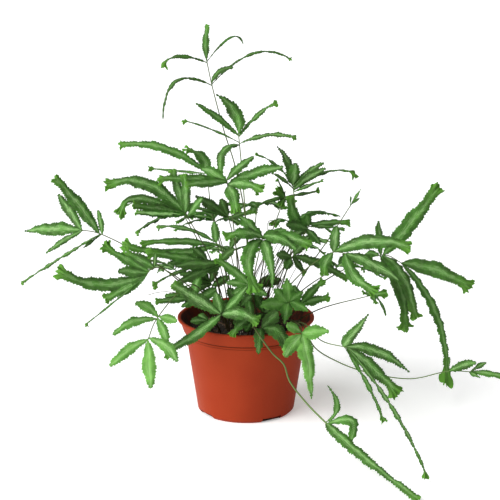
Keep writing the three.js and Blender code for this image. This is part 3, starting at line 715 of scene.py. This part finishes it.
frond("core_left", "deep", (-24, 10), [], [
    whorl(-40, 8, 145, [
        leaf(-26, -4, 26, 13),
        leaf(-34, 2, 8, 14, 0, 4),
        leaf(-26, -8, -8, 13),
        leaf(8, -2, 24, 12),
        leaf(22, -6, 6, 13),
    ]),
])
frond("core_front", "mid", (2, -44), [], [
    whorl(6, -58, 121, [
        leaf(-18, 0, 14, 10),
        leaf(-3, 6, 19, 10),
        leaf(-6, -4, -13, 8),
        leaf(-23, -25, -13, 11, 7, (0, -4, 12)),
    ]),
])
frond("rim_left", "mid", (-34, -38), [], [
    whorl(-42, -42, 114, [
        leaf(-18, -6, 2, 9),
        leaf(-10, 10, 4, 9),
        leaf(14, -2, 2, 10),
        leaf(2, -10, -6, 9),
    ]),
])
frond("right_heart", "deep", (12, -12), [], [
    whorl(52, -25, 184, [
        leaf(-9, -8, -14, 11),
        leaf(16, -4, 22, 13),
        leaf(60, -2, -28, 12, 3, 9),
        leaf(-19, -2, 1, 11),
        leaf(14, 4, -24, 9, 4),
    ]),
])

# The fronds at the back follow the same rule as in the part's source: they lean out evenly between two
# headings, low and high ones by turns, with a seeded draw for their heights, lengths and widths.
DRAW_FACTOR = 16807
DRAW_MODULUS = 2147483647
BACK_COUNT = 8
BACK_SEED = 11
BACK_SEED_STEP = 97
BACK_FROM = 18
BACK_TO = 162
BACK_LOW = {"foot": 40, "reach": (120, 150), "height": (140, 165), "greens": "silver"}
BACK_HIGH = {"foot": 29, "reach": (80, 105), "height": (195, 225), "greens": "mid"}
BACK_LEAFLETS = ((-72, 0.85), (-28, 1), (8, 1.15), (42, 1), (80, 0.85))
BACK_SWAY = (-6, 6)
BACK_LENGTH = (46, 62)
BACK_RISE = (-0.5, 0.1)
BACK_WIDTH = (11, 14)
BACK_CREST = (0, 8.5)
BACK_BOW = 14


def draws(seed):
    """The source's own draw between two values."""
    state = [seed]

    def draw(between):
        state[0] = state[0] * DRAW_FACTOR % DRAW_MODULUS
        return between[0] + (between[1] - between[0]) * state[0] / DRAW_MODULUS
    return draw


def back_frond(i):
    """Plans one frond at the back."""
    draw = draws(BACK_SEED + BACK_SEED_STEP * i)
    heading = math.radians(BACK_FROM + (BACK_TO - BACK_FROM) * (i + 0.5) / BACK_COUNT)
    out = np.array((math.cos(heading), math.sin(heading)))
    side = np.array((-out[1], out[0]))
    rank = BACK_HIGH if i % 2 else BACK_LOW
    reach = draw(rank["reach"])
    height = draw(rank["height"])
    leaflets = []
    for spread, share in BACK_LEAFLETS:
        turn = math.radians(spread + draw(BACK_SWAY))
        length = draw(BACK_LENGTH) * share
        flat = (out * math.cos(turn) + side * math.sin(turn)) * length
        rise = draw(BACK_RISE) * length
        width = draw(BACK_WIDTH)
        leaflets.append(leaf(flat[0], flat[1], rise, width, draw(BACK_CREST), BACK_BOW))
    frond(f"back_{i + 1}", rank["greens"], tuple(out * rank["foot"]), [],
          [whorl(out[0] * reach, out[1] * reach, height, leaflets)], front=0)


for i in range(BACK_COUNT):
    back_frond(i)

# A stalk is a hard, smooth wire, dark at its foot and green above. It stands upright, sunk in the soil, and
# leans out in one sweep to its last whorl, where the leaflets leave it one just below another.
STALK_SUNK = 12
STALK_UPRIGHT = 4
STALK_SPAN = 26
STALK_STEP = 5
LED_OUT = 0.36
LED_UP = 0.56
STALK_FOOT_RADIUS = 0.85
STALK_TIP_RADIUS = 0.5
STALK_SIDES = 8


def sweep(knots, k, share):
    """A place on the centripetal curve through the knots, a share of the way from knot k to the next."""
    start, end = knots[k], knots[k + 1]
    before = knots[k - 1] if k else 2 * start - end
    after = knots[k + 2] if k + 2 < len(knots) else 2 * end - start
    gap_before, gap, gap_after = (math.sqrt(np.linalg.norm(b - a))
                                  for a, b in ((before, start), (start, end), (end, after)))
    leave = gap * ((start - before) / gap_before - (end - before) / (gap_before + gap) + (end - start) / gap)
    arrive = gap * ((end - start) / gap - (after - start) / (gap + gap_after) + (after - end) / gap_after)
    return (start + leave * share + (3 * (end - start) - 2 * leave - arrive) * share ** 2
            + (2 * (start - end) + leave + arrive) * share ** 3)


def stalk_line(plan):
    """The stalk's points from its foot up, and the direction down the stalk at each whorl."""
    x, y = plan["foot"]
    ground = soil_height(x * MM, y * MM) / MM
    upright = np.array((x, y, ground + STALK_UPRIGHT))
    first = plan["whorls"][0][0]
    led = [np.array(place, float) for place in plan["over"]]
    if not led:
        led = [np.array((x + LED_OUT * (first[0] - x), y + LED_OUT * (first[1] - y),
                         ground + LED_UP * (first[2] - ground)))]
    knots = [upright, *led, *(place for place, _ in plan["whorls"])]
    points = [np.array((x, y, ground - STALK_SUNK)), upright]
    downs = []
    for k in range(len(knots) - 1):
        distance = np.linalg.norm(knots[k + 1] - knots[k])
        steps = max(2, round(distance / STALK_STEP))
        points += [sweep(knots, k, (i + 1) / steps) for i in range(steps)]
        spans = max(1, math.floor(distance / STALK_SPAN + 0.5))
        below = sweep(knots, k, 1 - 1 / spans) - knots[k + 1]
        downs.append(below / np.linalg.norm(below))
    return points, downs[-len(plan["whorls"]):]


def wires(name, lines, sides):
    """Round wires of changing radius, in millimetres, drawn as one curve and made a mesh."""
    curve = bpy.data.curves.new(name, "CURVE")
    curve.dimensions = "3D"
    curve.bevel_depth = MM
    curve.bevel_resolution = max(0, sides // 2 - 2)
    curve.use_fill_caps = True
    for points, radii in lines:
        spline = curve.splines.new("POLY")
        spline.points.add(len(points) - 1)
        places = np.ones((len(points), 4))
        places[:, :3] = np.array(points) * MM
        spline.points.foreach_set("co", places.ravel())
        spline.points.foreach_set("radius", np.array(radii, float))
    piece = bpy.data.objects.new(name, curve)
    bpy.context.collection.objects.link(piece)
    only(piece)
    bpy.ops.object.convert(target="MESH")
    bpy.ops.object.shade_smooth()
    return bpy.context.object


# The leaflets are thin, strap-shaped blades with a toothed, waved edge and a raised midrib. Most of
# them narrow to a neck and then fan out in a ruffled, forked crest. A flat leaflet is modelled once
# for each size, and each of its copies is then shaped and bent along its own midrib.
STAGGER = 1.3
WAVE = math.radians(5)
SEGMENT_LENGTH = 19
FEWEST_SEGMENTS = 3
MOST_SEGMENTS = 6
FACE_OUT = 0.5
FORMS = {"strap": (1.0, 0.62), "blunt": (1.15, 0.6), "lance": (0.5, 0.8), "pointed": (0.85, 0.95)}
ROLL = math.radians(10)
BLADE_THICKNESS = 0.5
NECK = 0.7
NECK_FROM = 0.4
THIN_WIDTH = 7
ROOT_HALF = 0.45
TIP_HALF = 0.2
TOOTH = 0.95
TOOTH_SHARE = 0.08
TOOTH_SLANT = 0.35
TOOTH_PERIOD = 7.3
ROW_CHOICES = (18, 34, 56, 90)
ROW_LENGTH = 1.5
WIDE_COLUMNS = 8
THIN_COLUMNS = 4
THIN_SHARE = 0.8
THIN_SWELLS = ((0.22, 27), (0.12, 12))
BROAD_SWELL = 0.05
BROAD_PERIOD = 23
BROAD_MARGINS = (11, 9)
MARGIN_WAVE = 0.065
MARGIN_WAVE_PERIODS = (11.5, 13.5)
MARGIN_CRISP = 0.03
MARGIN_CRISP_PERIODS = (4.3, 4.9)
SWAY = 0.03
SWAY_PERIOD = 31
CHANNEL_RISE = 0.1
MARGIN_FALL = 0.16
CREST_CUTS = 3
CREST_ROWS = 7
CREST_SPREAD = math.radians(48)
CREST_TEETH = (5, 6, 7)
CREST_TOOTH = 0.16
CREST_FORK = (0.0, 4.5)
FORK_PLACES = (-0.35, 0.35)
FORK_WIDTH = 0.22
CREST_BREADTH = 0.95
CREST_WIDEST = 10.5
CREST_ROUND = 0.34
CREST_UNEVEN = 0.12
CREST_OPEN = (0.7, 1.25)
CREST_DRAWN_IN = 0.2
CREST_RUFFLE = 0.2
CREST_CURL = (-0.15, 0.55)
LOBE_PERIOD = 1.1
RIB_RADIUS = 0.32
RIB_TIP_RADIUS = 0.12
RIB_STOP = 0.94
RIB_STEPS = 14
TONE_SPREAD = (-0.13, 0.13)
SILVER_SPREAD = (0.7, 1.2)
CHART_LENGTH = 50
flat_leaflets = {}


def flat_leaflet(columns, rows, crested):
    """A flat grid from root to tip, with the crest's finer grid drawn out of its end row."""
    if (columns, rows, crested) in flat_leaflets:
        return flat_leaflets[columns, rows, crested]
    bpy.ops.object.select_all(action="DESELECT")
    bpy.ops.mesh.primitive_grid_add(x_subdivisions=columns, y_subdivisions=rows, size=2, location=(0, 1, 0))
    flat = bpy.context.object
    flat.name = f"flat_leaflet_{columns}_{rows}_{crested}"
    bpy.ops.object.transform_apply(location=True)
    if crested:
        bpy.ops.object.mode_set(mode="EDIT")
        bpy.ops.mesh.select_mode(type="VERT")
        bpy.ops.mesh.select_all(action="DESELECT")
        bpy.ops.object.mode_set(mode="OBJECT")
        end = max(vertex.co.y for vertex in flat.data.vertices)
        for vertex in flat.data.vertices:
            vertex.select = vertex.co.y > end - 1 / rows
        bpy.ops.object.mode_set(mode="EDIT")
        bpy.ops.mesh.subdivide(number_cuts=CREST_CUTS)
        for row in range(CREST_ROWS):
            bpy.ops.mesh.extrude_region_move(TRANSFORM_OT_translate={"value": (0, 2 / CREST_ROWS, 0)})
        bpy.ops.object.mode_set(mode="OBJECT")
    flat.hide_render = True
    flat_leaflets[columns, rows, crested] = flat
    return flat


def outline(share, neck, form):
    """Half the blade's width along its length, as a share of its full width."""
    skew, fullness = FORMS[form]
    swell = np.sin(np.pi * np.clip(share, 0, 1) ** skew) ** fullness
    ease = np.clip((share - NECK_FROM) / (1 - NECK_FROM), 0, 1)
    return 0.5 * np.maximum(swell, neck * ease ** 2 * (3 - 2 * ease))


def unit(rows):
    """Rows of vectors at length one."""
    return rows / np.linalg.norm(rows, axis=-1, keepdims=True)


def wave(along, period, dice):
    """A sine along the leaflet from a place that the dice choose."""
    return np.sin(2 * np.pi * along / period + dice.uniform(0, 2 * math.pi))


def margins(side, along, periods, dice):
    """A sine for each margin of the leaflet."""
    left, right = (wave(along, period, dice) for period in periods)
    return np.where(side < 0, left, right)


def arc(start, control, end, share):
    """Places on the curve from start to end that is drawn towards control."""
    return (1 - share) ** 2 * start + 2 * share * (1 - share) * control + share ** 2 * end


def facing(along, root, front, tilt):
    """The directions across and out of a blade whose upper face looks to the light, once it is tilted."""
    light = np.array((0, -front, 1.0))
    light[:2] += FACE_OUT * root[:2] / np.linalg.norm(root[:2])
    normal = unit(light - along * (along @ light)[:, None])
    across = np.cross(normal, along)
    return across * np.cos(tilt) + normal * np.sin(tilt), normal * np.cos(tilt) - across * np.sin(tilt)


def half_width(plan, form, side, share, run, dice):
    """Half a blade's width without its teeth; thin blades swell and shrink more than broad ones."""
    half = plan["width"] * outline(share, NECK if plan["crest"] else 0, form)
    if plan["width"] <= THIN_WIDTH:
        half *= THIN_SHARE + sum(swell * wave(run, period, dice) for swell, period in THIN_SWELLS)
    else:
        half *= 1 + BROAD_SWELL * (wave(run, BROAD_PERIOD, dice) + margins(side, run, BROAD_MARGINS, dice))
    return np.maximum(half, np.where(share < 0.5, ROOT_HALF, TIP_HALF))


def crest_shape(crest, side, fan, half, dice):
    """How far a crest's points lie across, along and out from the end of its blade."""
    teeth = dice.choice(CREST_TEETH)
    notch = CREST_TOOTH * (0.5 + 0.5 * np.cos(np.pi * teeth * (side + 1)))
    fork = dice.uniform(*CREST_FORK) / max(crest, 10)
    fork = fork * np.exp(-((side - dice.uniform(*FORK_PLACES)) / FORK_WIDTH) ** 2)
    lobe = 1 - CREST_ROUND * side ** 2 + CREST_UNEVEN * wave(side, LOBE_PERIOD, dice)
    lobe = lobe * (1 - (notch + fork) * fan)
    turn = CREST_SPREAD * dice.uniform(*CREST_OPEN) * side * (0.4 + 0.6 * fan)
    breadth = min(CREST_BREADTH * crest, CREST_WIDEST)
    drawn_in = CREST_DRAWN_IN * half * side * np.minimum(1, 1.25 * fan)
    across = (breadth * lobe * np.sin(turn) * fan - drawn_in) * (fan > 0)
    along = crest * lobe * np.cos(turn) * fan
    ruffle = CREST_RUFFLE * (wave(side, LOBE_PERIOD / 2, dice) + 0.9 * wave(side, LOBE_PERIOD, dice))
    return across, along, breadth * (ruffle * fan ** 1.2 - dice.uniform(*CREST_CURL) * fan ** 2)


def bend(plan, root, front, form, rows, flat, dice):
    """Places for a flat leaflet's points, in millimetres, and for its midrib."""
    reach, width, crest = plan["reach"], plan["width"], plan["crest"]
    length = np.linalg.norm(reach)
    last = 1 - crest / length
    control = root + reach / 2 + plan["bow"]
    tip = root + reach
    side, share = flat[:, 0], np.minimum(flat[:, 1], 1)
    fan = np.clip(flat[:, 1] - 1, 0, 1)
    run = length * last * share
    from_root = np.minimum(1, 4 * share)
    rank = np.rint(share * rows)
    tooth = np.where(rank % 2 == 1, 1.0, -1.0) * (rank > 1) * (fan == 0)
    tooth *= 0.7 + 0.3 * wave(run, TOOTH_PERIOD, dice)
    tooth *= min(TOOTH, TOOTH_SHARE * width) * np.abs(side) ** 4
    t = (last * share + TOOTH_SLANT * tooth / length)[:, None]
    along = unit((1 - t) * (control - root) + t * (tip - control))
    segments = min(MOST_SEGMENTS, max(FEWEST_SEGMENTS, 1 + math.floor(length / SEGMENT_LENGTH + 0.5)))
    tilt = -WAVE * np.cos(np.pi * segments * share) * np.minimum(1, 8 * share) * (1 - fan)
    tilt += ROLL * (dice.uniform(-1, 1) + dice.uniform(-1.5, 1.5) * share)
    front = front if plan["front"] is None else plan["front"]
    across, normal = facing(along, root, front, tilt[:, None])

    half = half_width(plan, plan["form"] or form, side, share, run, dice) + tooth
    margin = MARGIN_WAVE * margins(side, run, MARGIN_WAVE_PERIODS, dice)
    margin += MARGIN_CRISP * margins(side, run, MARGIN_CRISP_PERIODS, dice)
    arch = half * (CHANNEL_RISE * np.sin(np.pi * np.abs(side)) - MARGIN_FALL * side ** 2)
    x = side * half + SWAY * width * wave(run, SWAY_PERIOD, dice) * from_root
    z = margin * width * side ** 2 * from_root + arch
    crest_x, y, crest_z = crest_shape(crest, side, fan, half, dice)
    places = arc(root, control, tip, t) + along * y[:, None]
    places += across * (x + crest_x)[:, None] + normal * (z + crest_z)[:, None]
    rib_share = np.linspace(0, last * (1 if crest else RIB_STOP), RIB_STEPS)[:, None]
    return places, arc(root, control, tip, rib_share), run, fan


def leaflet_piece(plan, root, front, form, greens, dice):
    """A copy of the flat leaflet, bent to its plan, with its own marks for the leaf's finish."""
    length = np.linalg.norm(plan["reach"])
    rows = min(ROW_CHOICES, key=lambda choice: abs(choice * ROW_LENGTH - length))
    columns = WIDE_COLUMNS if plan["width"] > THIN_WIDTH else THIN_COLUMNS
    model = flat_leaflet(columns, rows, plan["crest"] > 0)
    piece = bpy.data.objects.new("leaflet", model.data.copy())
    bpy.context.collection.objects.link(piece)
    mesh = piece.data
    flat = np.empty(len(mesh.vertices) * 3)
    mesh.vertices.foreach_get("co", flat)
    flat = flat.reshape(-1, 3)[:, :2] * (1, 0.5)
    places, midrib, run, fan = bend(plan, root, front, form, rows, flat, dice)
    mesh.vertices.foreach_set("co", (places * MM).ravel())
    tone, silver = greens
    near_crest = np.clip((np.minimum(flat[:, 1], 1) - 0.8) / 0.2, 0, 1) if plan["crest"] else 0
    marks = np.empty((len(flat), 4))
    marks[:, 0] = tone + dice.uniform(*TONE_SPREAD)
    marks[:, 1] = 0.6 * fan + 0.4 * near_crest
    marks[:, 2] = silver * dice.uniform(*SILVER_SPREAD)
    marks[:, 3] = dice.random()
    mesh.attributes.new("growth", "FLOAT_COLOR", "POINT").data.foreach_set("color", marks.ravel())
    corners = np.empty(len(mesh.loops), int)
    mesh.loops.foreach_get("vertex_index", corners)
    chart = np.column_stack(((flat[:, 0] + 1) / 2, (run + fan * plan["crest"]) / CHART_LENGTH))[corners]
    layer = mesh.uv_layers[0] if mesh.uv_layers else mesh.uv_layers.new(name="leaf")
    layer.name = "leaf"
    layer.data.foreach_set("uv", chart.ravel())
    return piece, midrib


# The leaf's upper face is satin green with a feathered, silvery band along the midrib, fine slanting
# veins and a brighter, yellower crest. The underside is duller and has no band. Stalks are wiry,
# nearly black at the foot and green above, and the midrib stands out pale on both faces.
DEEP = (0.011, 0.046, 0.002, 1)
MIDDLE = (0.042, 0.175, 0.014, 1)
FRESH = (0.2, 0.5, 0.09, 1)
SILVER = (0.38, 0.73, 0.25, 1)
CREST_TIP = (0.13, 0.38, 0.025, 1)
RIB_PALE = (0.46, 0.74, 0.3, 1)
RIB_DARK = (0.1, 0.26, 0.04, 1)
RIB_GREEN = (0.2, 0.4, 0.1, 1)
VEIN_LIGHT = (0.7, 0.75, 0.6, 1)
FINE_SHADE = (0.35, 0.4, 0.3, 1)
DULL_GREEN = (0.07, 0.12, 0.04, 1)
VEIN_PITCH = 25
VEIN_SLANT = 13
VEIN_DEPTH = 0.4 * MM
STREAKS = (11, 8, 1)
CROWN = (0, 0, 0.09)
STALK_BROWN = (0.03, 0.022, 0.008, 1)
STALK_OLIVE = (0.045, 0.06, 0.014, 1)
STALK_PALE = (0.24, 0.4, 0.12, 1)


def leaf_finish(name, roughness, dulling, band_share):
    """The leaf's green by its marks, with the band as strong as band_share."""
    material, tree, shader = new_material(name, roughness, 0.08)
    marks = put(tree, "ShaderNodeAttribute", {}, attribute_name="growth")
    tone, crest, silver = put(tree, "ShaderNodeSeparateColor", {"Color": marks.outputs["Color"]}).outputs
    chart = put(tree, "ShaderNodeUVMap", {}, uv_map="leaf").outputs["UV"]
    across, along, _ = put(tree, "ShaderNodeSeparateXYZ", {"Vector": chart}).outputs
    aside = sums(tree, "ABSOLUTE", sums(tree, "MULTIPLY_ADD", across, 2.0, -1.0))
    wander = sums(tree, "SUBTRACT", speckle(tree, 140, 3), 0.5)
    veins = sums(tree, "SUBTRACT", sums(tree, "MULTIPLY", along, VEIN_PITCH * 2 * math.pi),
                 sums(tree, "MULTIPLY", aside, VEIN_SLANT))
    veins = sums(tree, "SINE", sums(tree, "MULTIPLY_ADD", wander, 5.0, veins))
    veins = eased(tree, veins, -0.4, 1)
    patches = speckle(tree, 70, 2)
    depth = sums(tree, "MULTIPLY_ADD", wander, 0.5, tone)
    depth = sums(tree, "SUBTRACT", depth, eased(tree, aside, 0.28, 0.5, 0, 0.2))
    depth = sums(tree, "ADD", depth, eased(tree, aside, 0.75, 1, 0, 0.12))
    depth = sums(tree, "MULTIPLY_ADD", sums(tree, "SUBTRACT", patches, 0.5), 0.6, depth)
    green = put(tree, "ShaderNodeValToRGB", {"Fac": depth})
    green.color_ramp.elements[0].color = DEEP
    green.color_ramp.elements[1].color = FRESH
    green.color_ramp.elements.new(0.42).color = MIDDLE
    reach = sums(tree, "MULTIPLY_ADD", wander, 0.9, aside)
    drawn_out = put(tree, "ShaderNodeVectorMath", {0: chart, 1: STREAKS}, operation="MULTIPLY").outputs[0]
    streaks = put(tree, "ShaderNodeTexNoise", {"Vector": drawn_out, "Scale": 1.0, "Detail": 3.0}).outputs[0]
    reach = sums(tree, "MULTIPLY_ADD", sums(tree, "SUBTRACT", streaks, 0.5), -1.3, reach)
    reach = sums(tree, "MULTIPLY_ADD", veins, -0.22, reach)
    band_edge = sums(tree, "MULTIPLY_ADD", silver, 0.3, 0.28)
    band = eased(tree, reach, band_edge, 0.03)
    band = sums(tree, "MULTIPLY", band, eased(tree, patches, 0.25, 0.6, 0.5, 1))
    band = sums(tree, "MULTIPLY", band, sums(tree, "MULTIPLY", silver, band_share))
    blade = sums(tree, "SUBTRACT", 1.0, crest)
    band = sums(tree, "MULTIPLY", band, blade)
    colour = blended(tree, band, green.outputs["Color"], SILVER)
    colour = blended(tree, sums(tree, "MULTIPLY", crest, 0.7), colour, CREST_TIP)
    colour = blended(tree, sums(tree, "MULTIPLY", veins, 0.3), colour, VEIN_LIGHT, "SOFT_LIGHT")
    ribbed = sums(tree, "MULTIPLY", eased(tree, reach, 0.15, -0.06, 0, 0.5), blade)
    colour = blended(tree, sums(tree, "MULTIPLY", ribbed, silver), colour, RIB_PALE)
    fine = eased(tree, speckle(tree, 900, 2), 0.3, 0.7, 0, 0.25)
    colour = blended(tree, fine, colour, FINE_SHADE, "MULTIPLY")
    colour = blended(tree, dulling, colour, DULL_GREEN)
    tree.links.new(colour, shader.inputs["Base Color"])
    fold = sums(tree, "MULTIPLY_ADD", veins, 0.5, eased(tree, aside, 0.0, 0.14, 0, 0.6))
    raised(tree, shader, fold, VEIN_DEPTH)
    return material


leaf_top = leaf_finish("leaf_upper_face", 0.42, 0.0, 0.95)
leaf_under = leaf_finish("leaf_underside", 0.6, 0.35, 0.3)
rib_green, tree, shader = new_material("midrib", 0.5, 0.12)
tree.links.new(blended(tree, speckle(tree, 120), RIB_DARK, RIB_GREEN), shader.inputs["Base Color"])
stalk_skin, tree, shader = new_material("stalk", 0.5, 0.12)
place = put(tree, "ShaderNodeTexCoord", {}).outputs["Object"]
from_crown = put(tree, "ShaderNodeVectorMath", {0: place, 1: CROWN}, operation="DISTANCE").outputs["Value"]
from_crown = sums(tree, "MULTIPLY_ADD", sums(tree, "SUBTRACT", speckle(tree, 25), 0.5), 0.05, from_crown)
paleness = put(tree, "ShaderNodeAttribute", {}, attribute_name="growth").outputs["Fac"]
skin = blended(tree, paleness, STALK_OLIVE, STALK_PALE)
skin = blended(tree, eased(tree, from_crown, 0.04, 0.16), STALK_BROWN, skin)
tree.links.new(skin, shader.inputs["Base Color"])
raised(tree, shader, speckle(tree, 1500, 2), 0.1 * MM)

LEAF_SEED = 20
for number, plan in enumerate(FRONDS):
    dice = random.Random(LEAF_SEED + number)
    points, downs = stalk_line(plan)
    radii = np.linspace(STALK_FOOT_RADIUS, STALK_TIP_RADIUS * plan["thick"], len(points))
    blades = []
    ribs = []
    for (place, leaflets), down in zip(plan["whorls"], downs):
        upright = sorted(leaflets, key=lambda one: one["reach"] @ down / np.linalg.norm(one["reach"]))
        for rank, one in enumerate(upright):
            root = place + down * STAGGER * rank
            moved = {**one, "reach": place + one["reach"] - root}
            piece, midrib = leaflet_piece(moved, root, plan["front"], plan["form"], plan["greens"], dice)
            blades.append(piece)
            rib_foot = min(RIB_RADIUS, one["width"] / 14)
            ribs.append((midrib, np.linspace(rib_foot, RIB_TIP_RADIUS, len(midrib))))
    only(blades[0])
    for piece in blades:
        piece.select_set(True)
    bpy.ops.object.join()
    foliage = bpy.context.object
    foliage.data.materials.append(leaf_top)
    foliage.data.materials.append(leaf_under)
    slab = foliage.modifiers.new("thickness", "SOLIDIFY")
    slab.thickness = BLADE_THICKNESS * MM
    slab.offset = 0
    slab.material_offset = 1
    only(foliage)
    bpy.ops.object.modifier_apply(modifier=slab.name)
    bpy.ops.object.shade_smooth_by_angle(angle=math.radians(50))
    stalk = wires("stalk", [(points, radii)], STALK_SIDES)
    paleness = np.tile((plan["stalk"], 0, 0, 1), len(stalk.data.vertices))
    stalk.data.attributes.new("growth", "FLOAT_COLOR", "POINT").data.foreach_set("color", paleness)
    stalk.data.materials.append(stalk_skin)
    midribs = wires("midribs", ribs, 6)
    midribs.data.materials.append(rib_green)
    only(foliage)
    stalk.select_set(True)
    midribs.select_set(True)
    bpy.ops.object.join()
    foliage.name = plan["name"] + "_fronds" if plan["name"].startswith("back") else plan["name"]
    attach(foliage, "root")
    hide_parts("frond_" + plan["name"])
for flat in flat_leaflets.values():
    bpy.data.objects.remove(flat)

# Old and young stalks without leaflets stand among the fronds: a sheaf of fine ones that leans to the
# right, a dry one bent over to the left, and one whose young tip is still coiled.
SHEAF_COUNT = 16
SHEAF_SEED = 6
SHEAF_RADII = (0.42, 0.3)
SHEAF_FEET = (-14, 24)
SHEAF_DEPTHS = (-18, 12)
SHEAF_LEAN = (36, 46)
SHEAF_RISE = (186, 194)
DRY_STALK = ((-36, -12), (-60, -18, 155), (-108, -20, 137))
COIL_TURNS = 1.6
COIL_RADIUS = 4
COIL_CORE = 0.3
COIL_STEPS = 26
COIL_MIDDLE = (28, 0, 213)
BARE_STEPS = 14


def bare_stalk(foot, led, tip):
    """Points from the soil at a foot up to a tip, bent towards a place between them."""
    x, y = foot
    start = np.array((x, y, soil_height(x * MM, y * MM) / MM - STALK_SUNK / 2))
    return arc(start, np.array(led), np.array(tip), np.linspace(0, 1, BARE_STEPS)[:, None])


dice = random.Random(SHEAF_SEED)
bare = []
for k in range(SHEAF_COUNT):
    x = SHEAF_FEET[0] + (SHEAF_FEET[1] - SHEAF_FEET[0]) * (k + dice.uniform(0.2, 0.8)) / SHEAF_COUNT
    y = dice.uniform(*SHEAF_DEPTHS)
    lean = dice.uniform(*SHEAF_LEAN)
    bare.append(bare_stalk((x, y), (x + 0.2 * lean, y, 130), (x + lean, y + 8, dice.uniform(*SHEAF_RISE))))
bare.append(bare_stalk(*DRY_STALK))
around = np.linspace(0, 2 * math.pi * COIL_TURNS, COIL_STEPS)[:, None]
tightening = COIL_RADIUS * (1 - (1 - COIL_CORE) * around / around[-1])
winding = COIL_MIDDLE + np.hstack((-np.cos(around), 0 * around, np.sin(around))) * tightening
riser = bare_stalk((14, 4), (22, 2, 160), (COIL_MIDDLE[0] - COIL_RADIUS, 0, 200))
bare.append(np.vstack((riser, winding)))
sheaf = [(points, np.linspace(*SHEAF_RADII, len(points))) for points in bare]
bare_stalks = wires("bare_stalks", sheaf, STALK_SIDES)
bare_stalks.data.materials.append(stalk_skin)
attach(bare_stalks, "root")

# The plant stands on a plain pale floor in soft light from the upper left, and the camera looks a
# little down on it from the front, as in the photograph.
FLOOR_SIZE = 30
FLOOR_WHITE = (0.93, 0.93, 0.93, 1)
FLOOR_GLOW = 0.3
SKY_LIGHT = 0.34
SUN_FROM = (-0.68, -0.46, 0.62)
SUN_LIGHT = 3.45
SUN_SOFTNESS = math.radians(60)
LAMP_PLACE = (-1.6, -0.7, 0.35)
LAMP_AIM = (0, 0, 0.15)
LAMP_POWER = 18
bpy.ops.mesh.primitive_plane_add(size=FLOOR_SIZE, location=(0, 0, 0))
floor = bpy.context.object
floor.name = "floor"
paper, tree, shader = new_material("pale_paper", 0.9)
shader.inputs["Base Color"].default_value = FLOOR_WHITE
shader.inputs["Emission Color"].default_value = (1, 1, 1, 1)
shader.inputs["Emission Strength"].default_value = FLOOR_GLOW
shader.inputs["Specular IOR Level"].default_value = 0
floor.data.materials.append(paper)

world = bpy.data.worlds.new("studio")
world.use_nodes = True
world.node_tree.nodes["Background"].inputs["Color"].default_value = (1, 1, 1, 1)
world.node_tree.nodes["Background"].inputs["Strength"].default_value = SKY_LIGHT
bpy.context.scene.world = world
bpy.ops.object.light_add(type="SUN", location=SUN_FROM)
daylight = bpy.context.object
daylight.data.energy = SUN_LIGHT
daylight.data.angle = SUN_SOFTNESS
daylight.rotation_euler = (-daylight.location).to_track_quat("-Z", "Y").to_euler()
bpy.ops.object.light_add(type="AREA", location=LAMP_PLACE)
side_lamp = bpy.context.object
side_lamp.data.energy = LAMP_POWER
side_lamp.data.size = 1.0
side_lamp.rotation_euler = (Vector(LAMP_AIM) - side_lamp.location).to_track_quat("-Z", "Y").to_euler()

CAMERA_DISTANCE = 1.8
CAMERA_DROP = math.radians(14.4)
CAMERA_AIM = (0.0045, 0, 0.1831)
CAMERA_LENS = 117.8
bpy.ops.object.camera_add(
    location=(CAMERA_AIM[0], CAMERA_AIM[1] - CAMERA_DISTANCE * math.cos(CAMERA_DROP),
              CAMERA_AIM[2] + CAMERA_DISTANCE * math.sin(CAMERA_DROP)),
    rotation=(math.pi / 2 - CAMERA_DROP, 0, 0))
camera = bpy.context.object
camera.data.lens = CAMERA_LENS
camera.data.sensor_width = 36
camera.data.clip_end = 60
bpy.context.scene.camera = camera
bpy.context.scene.view_settings.view_transform = "Standard"
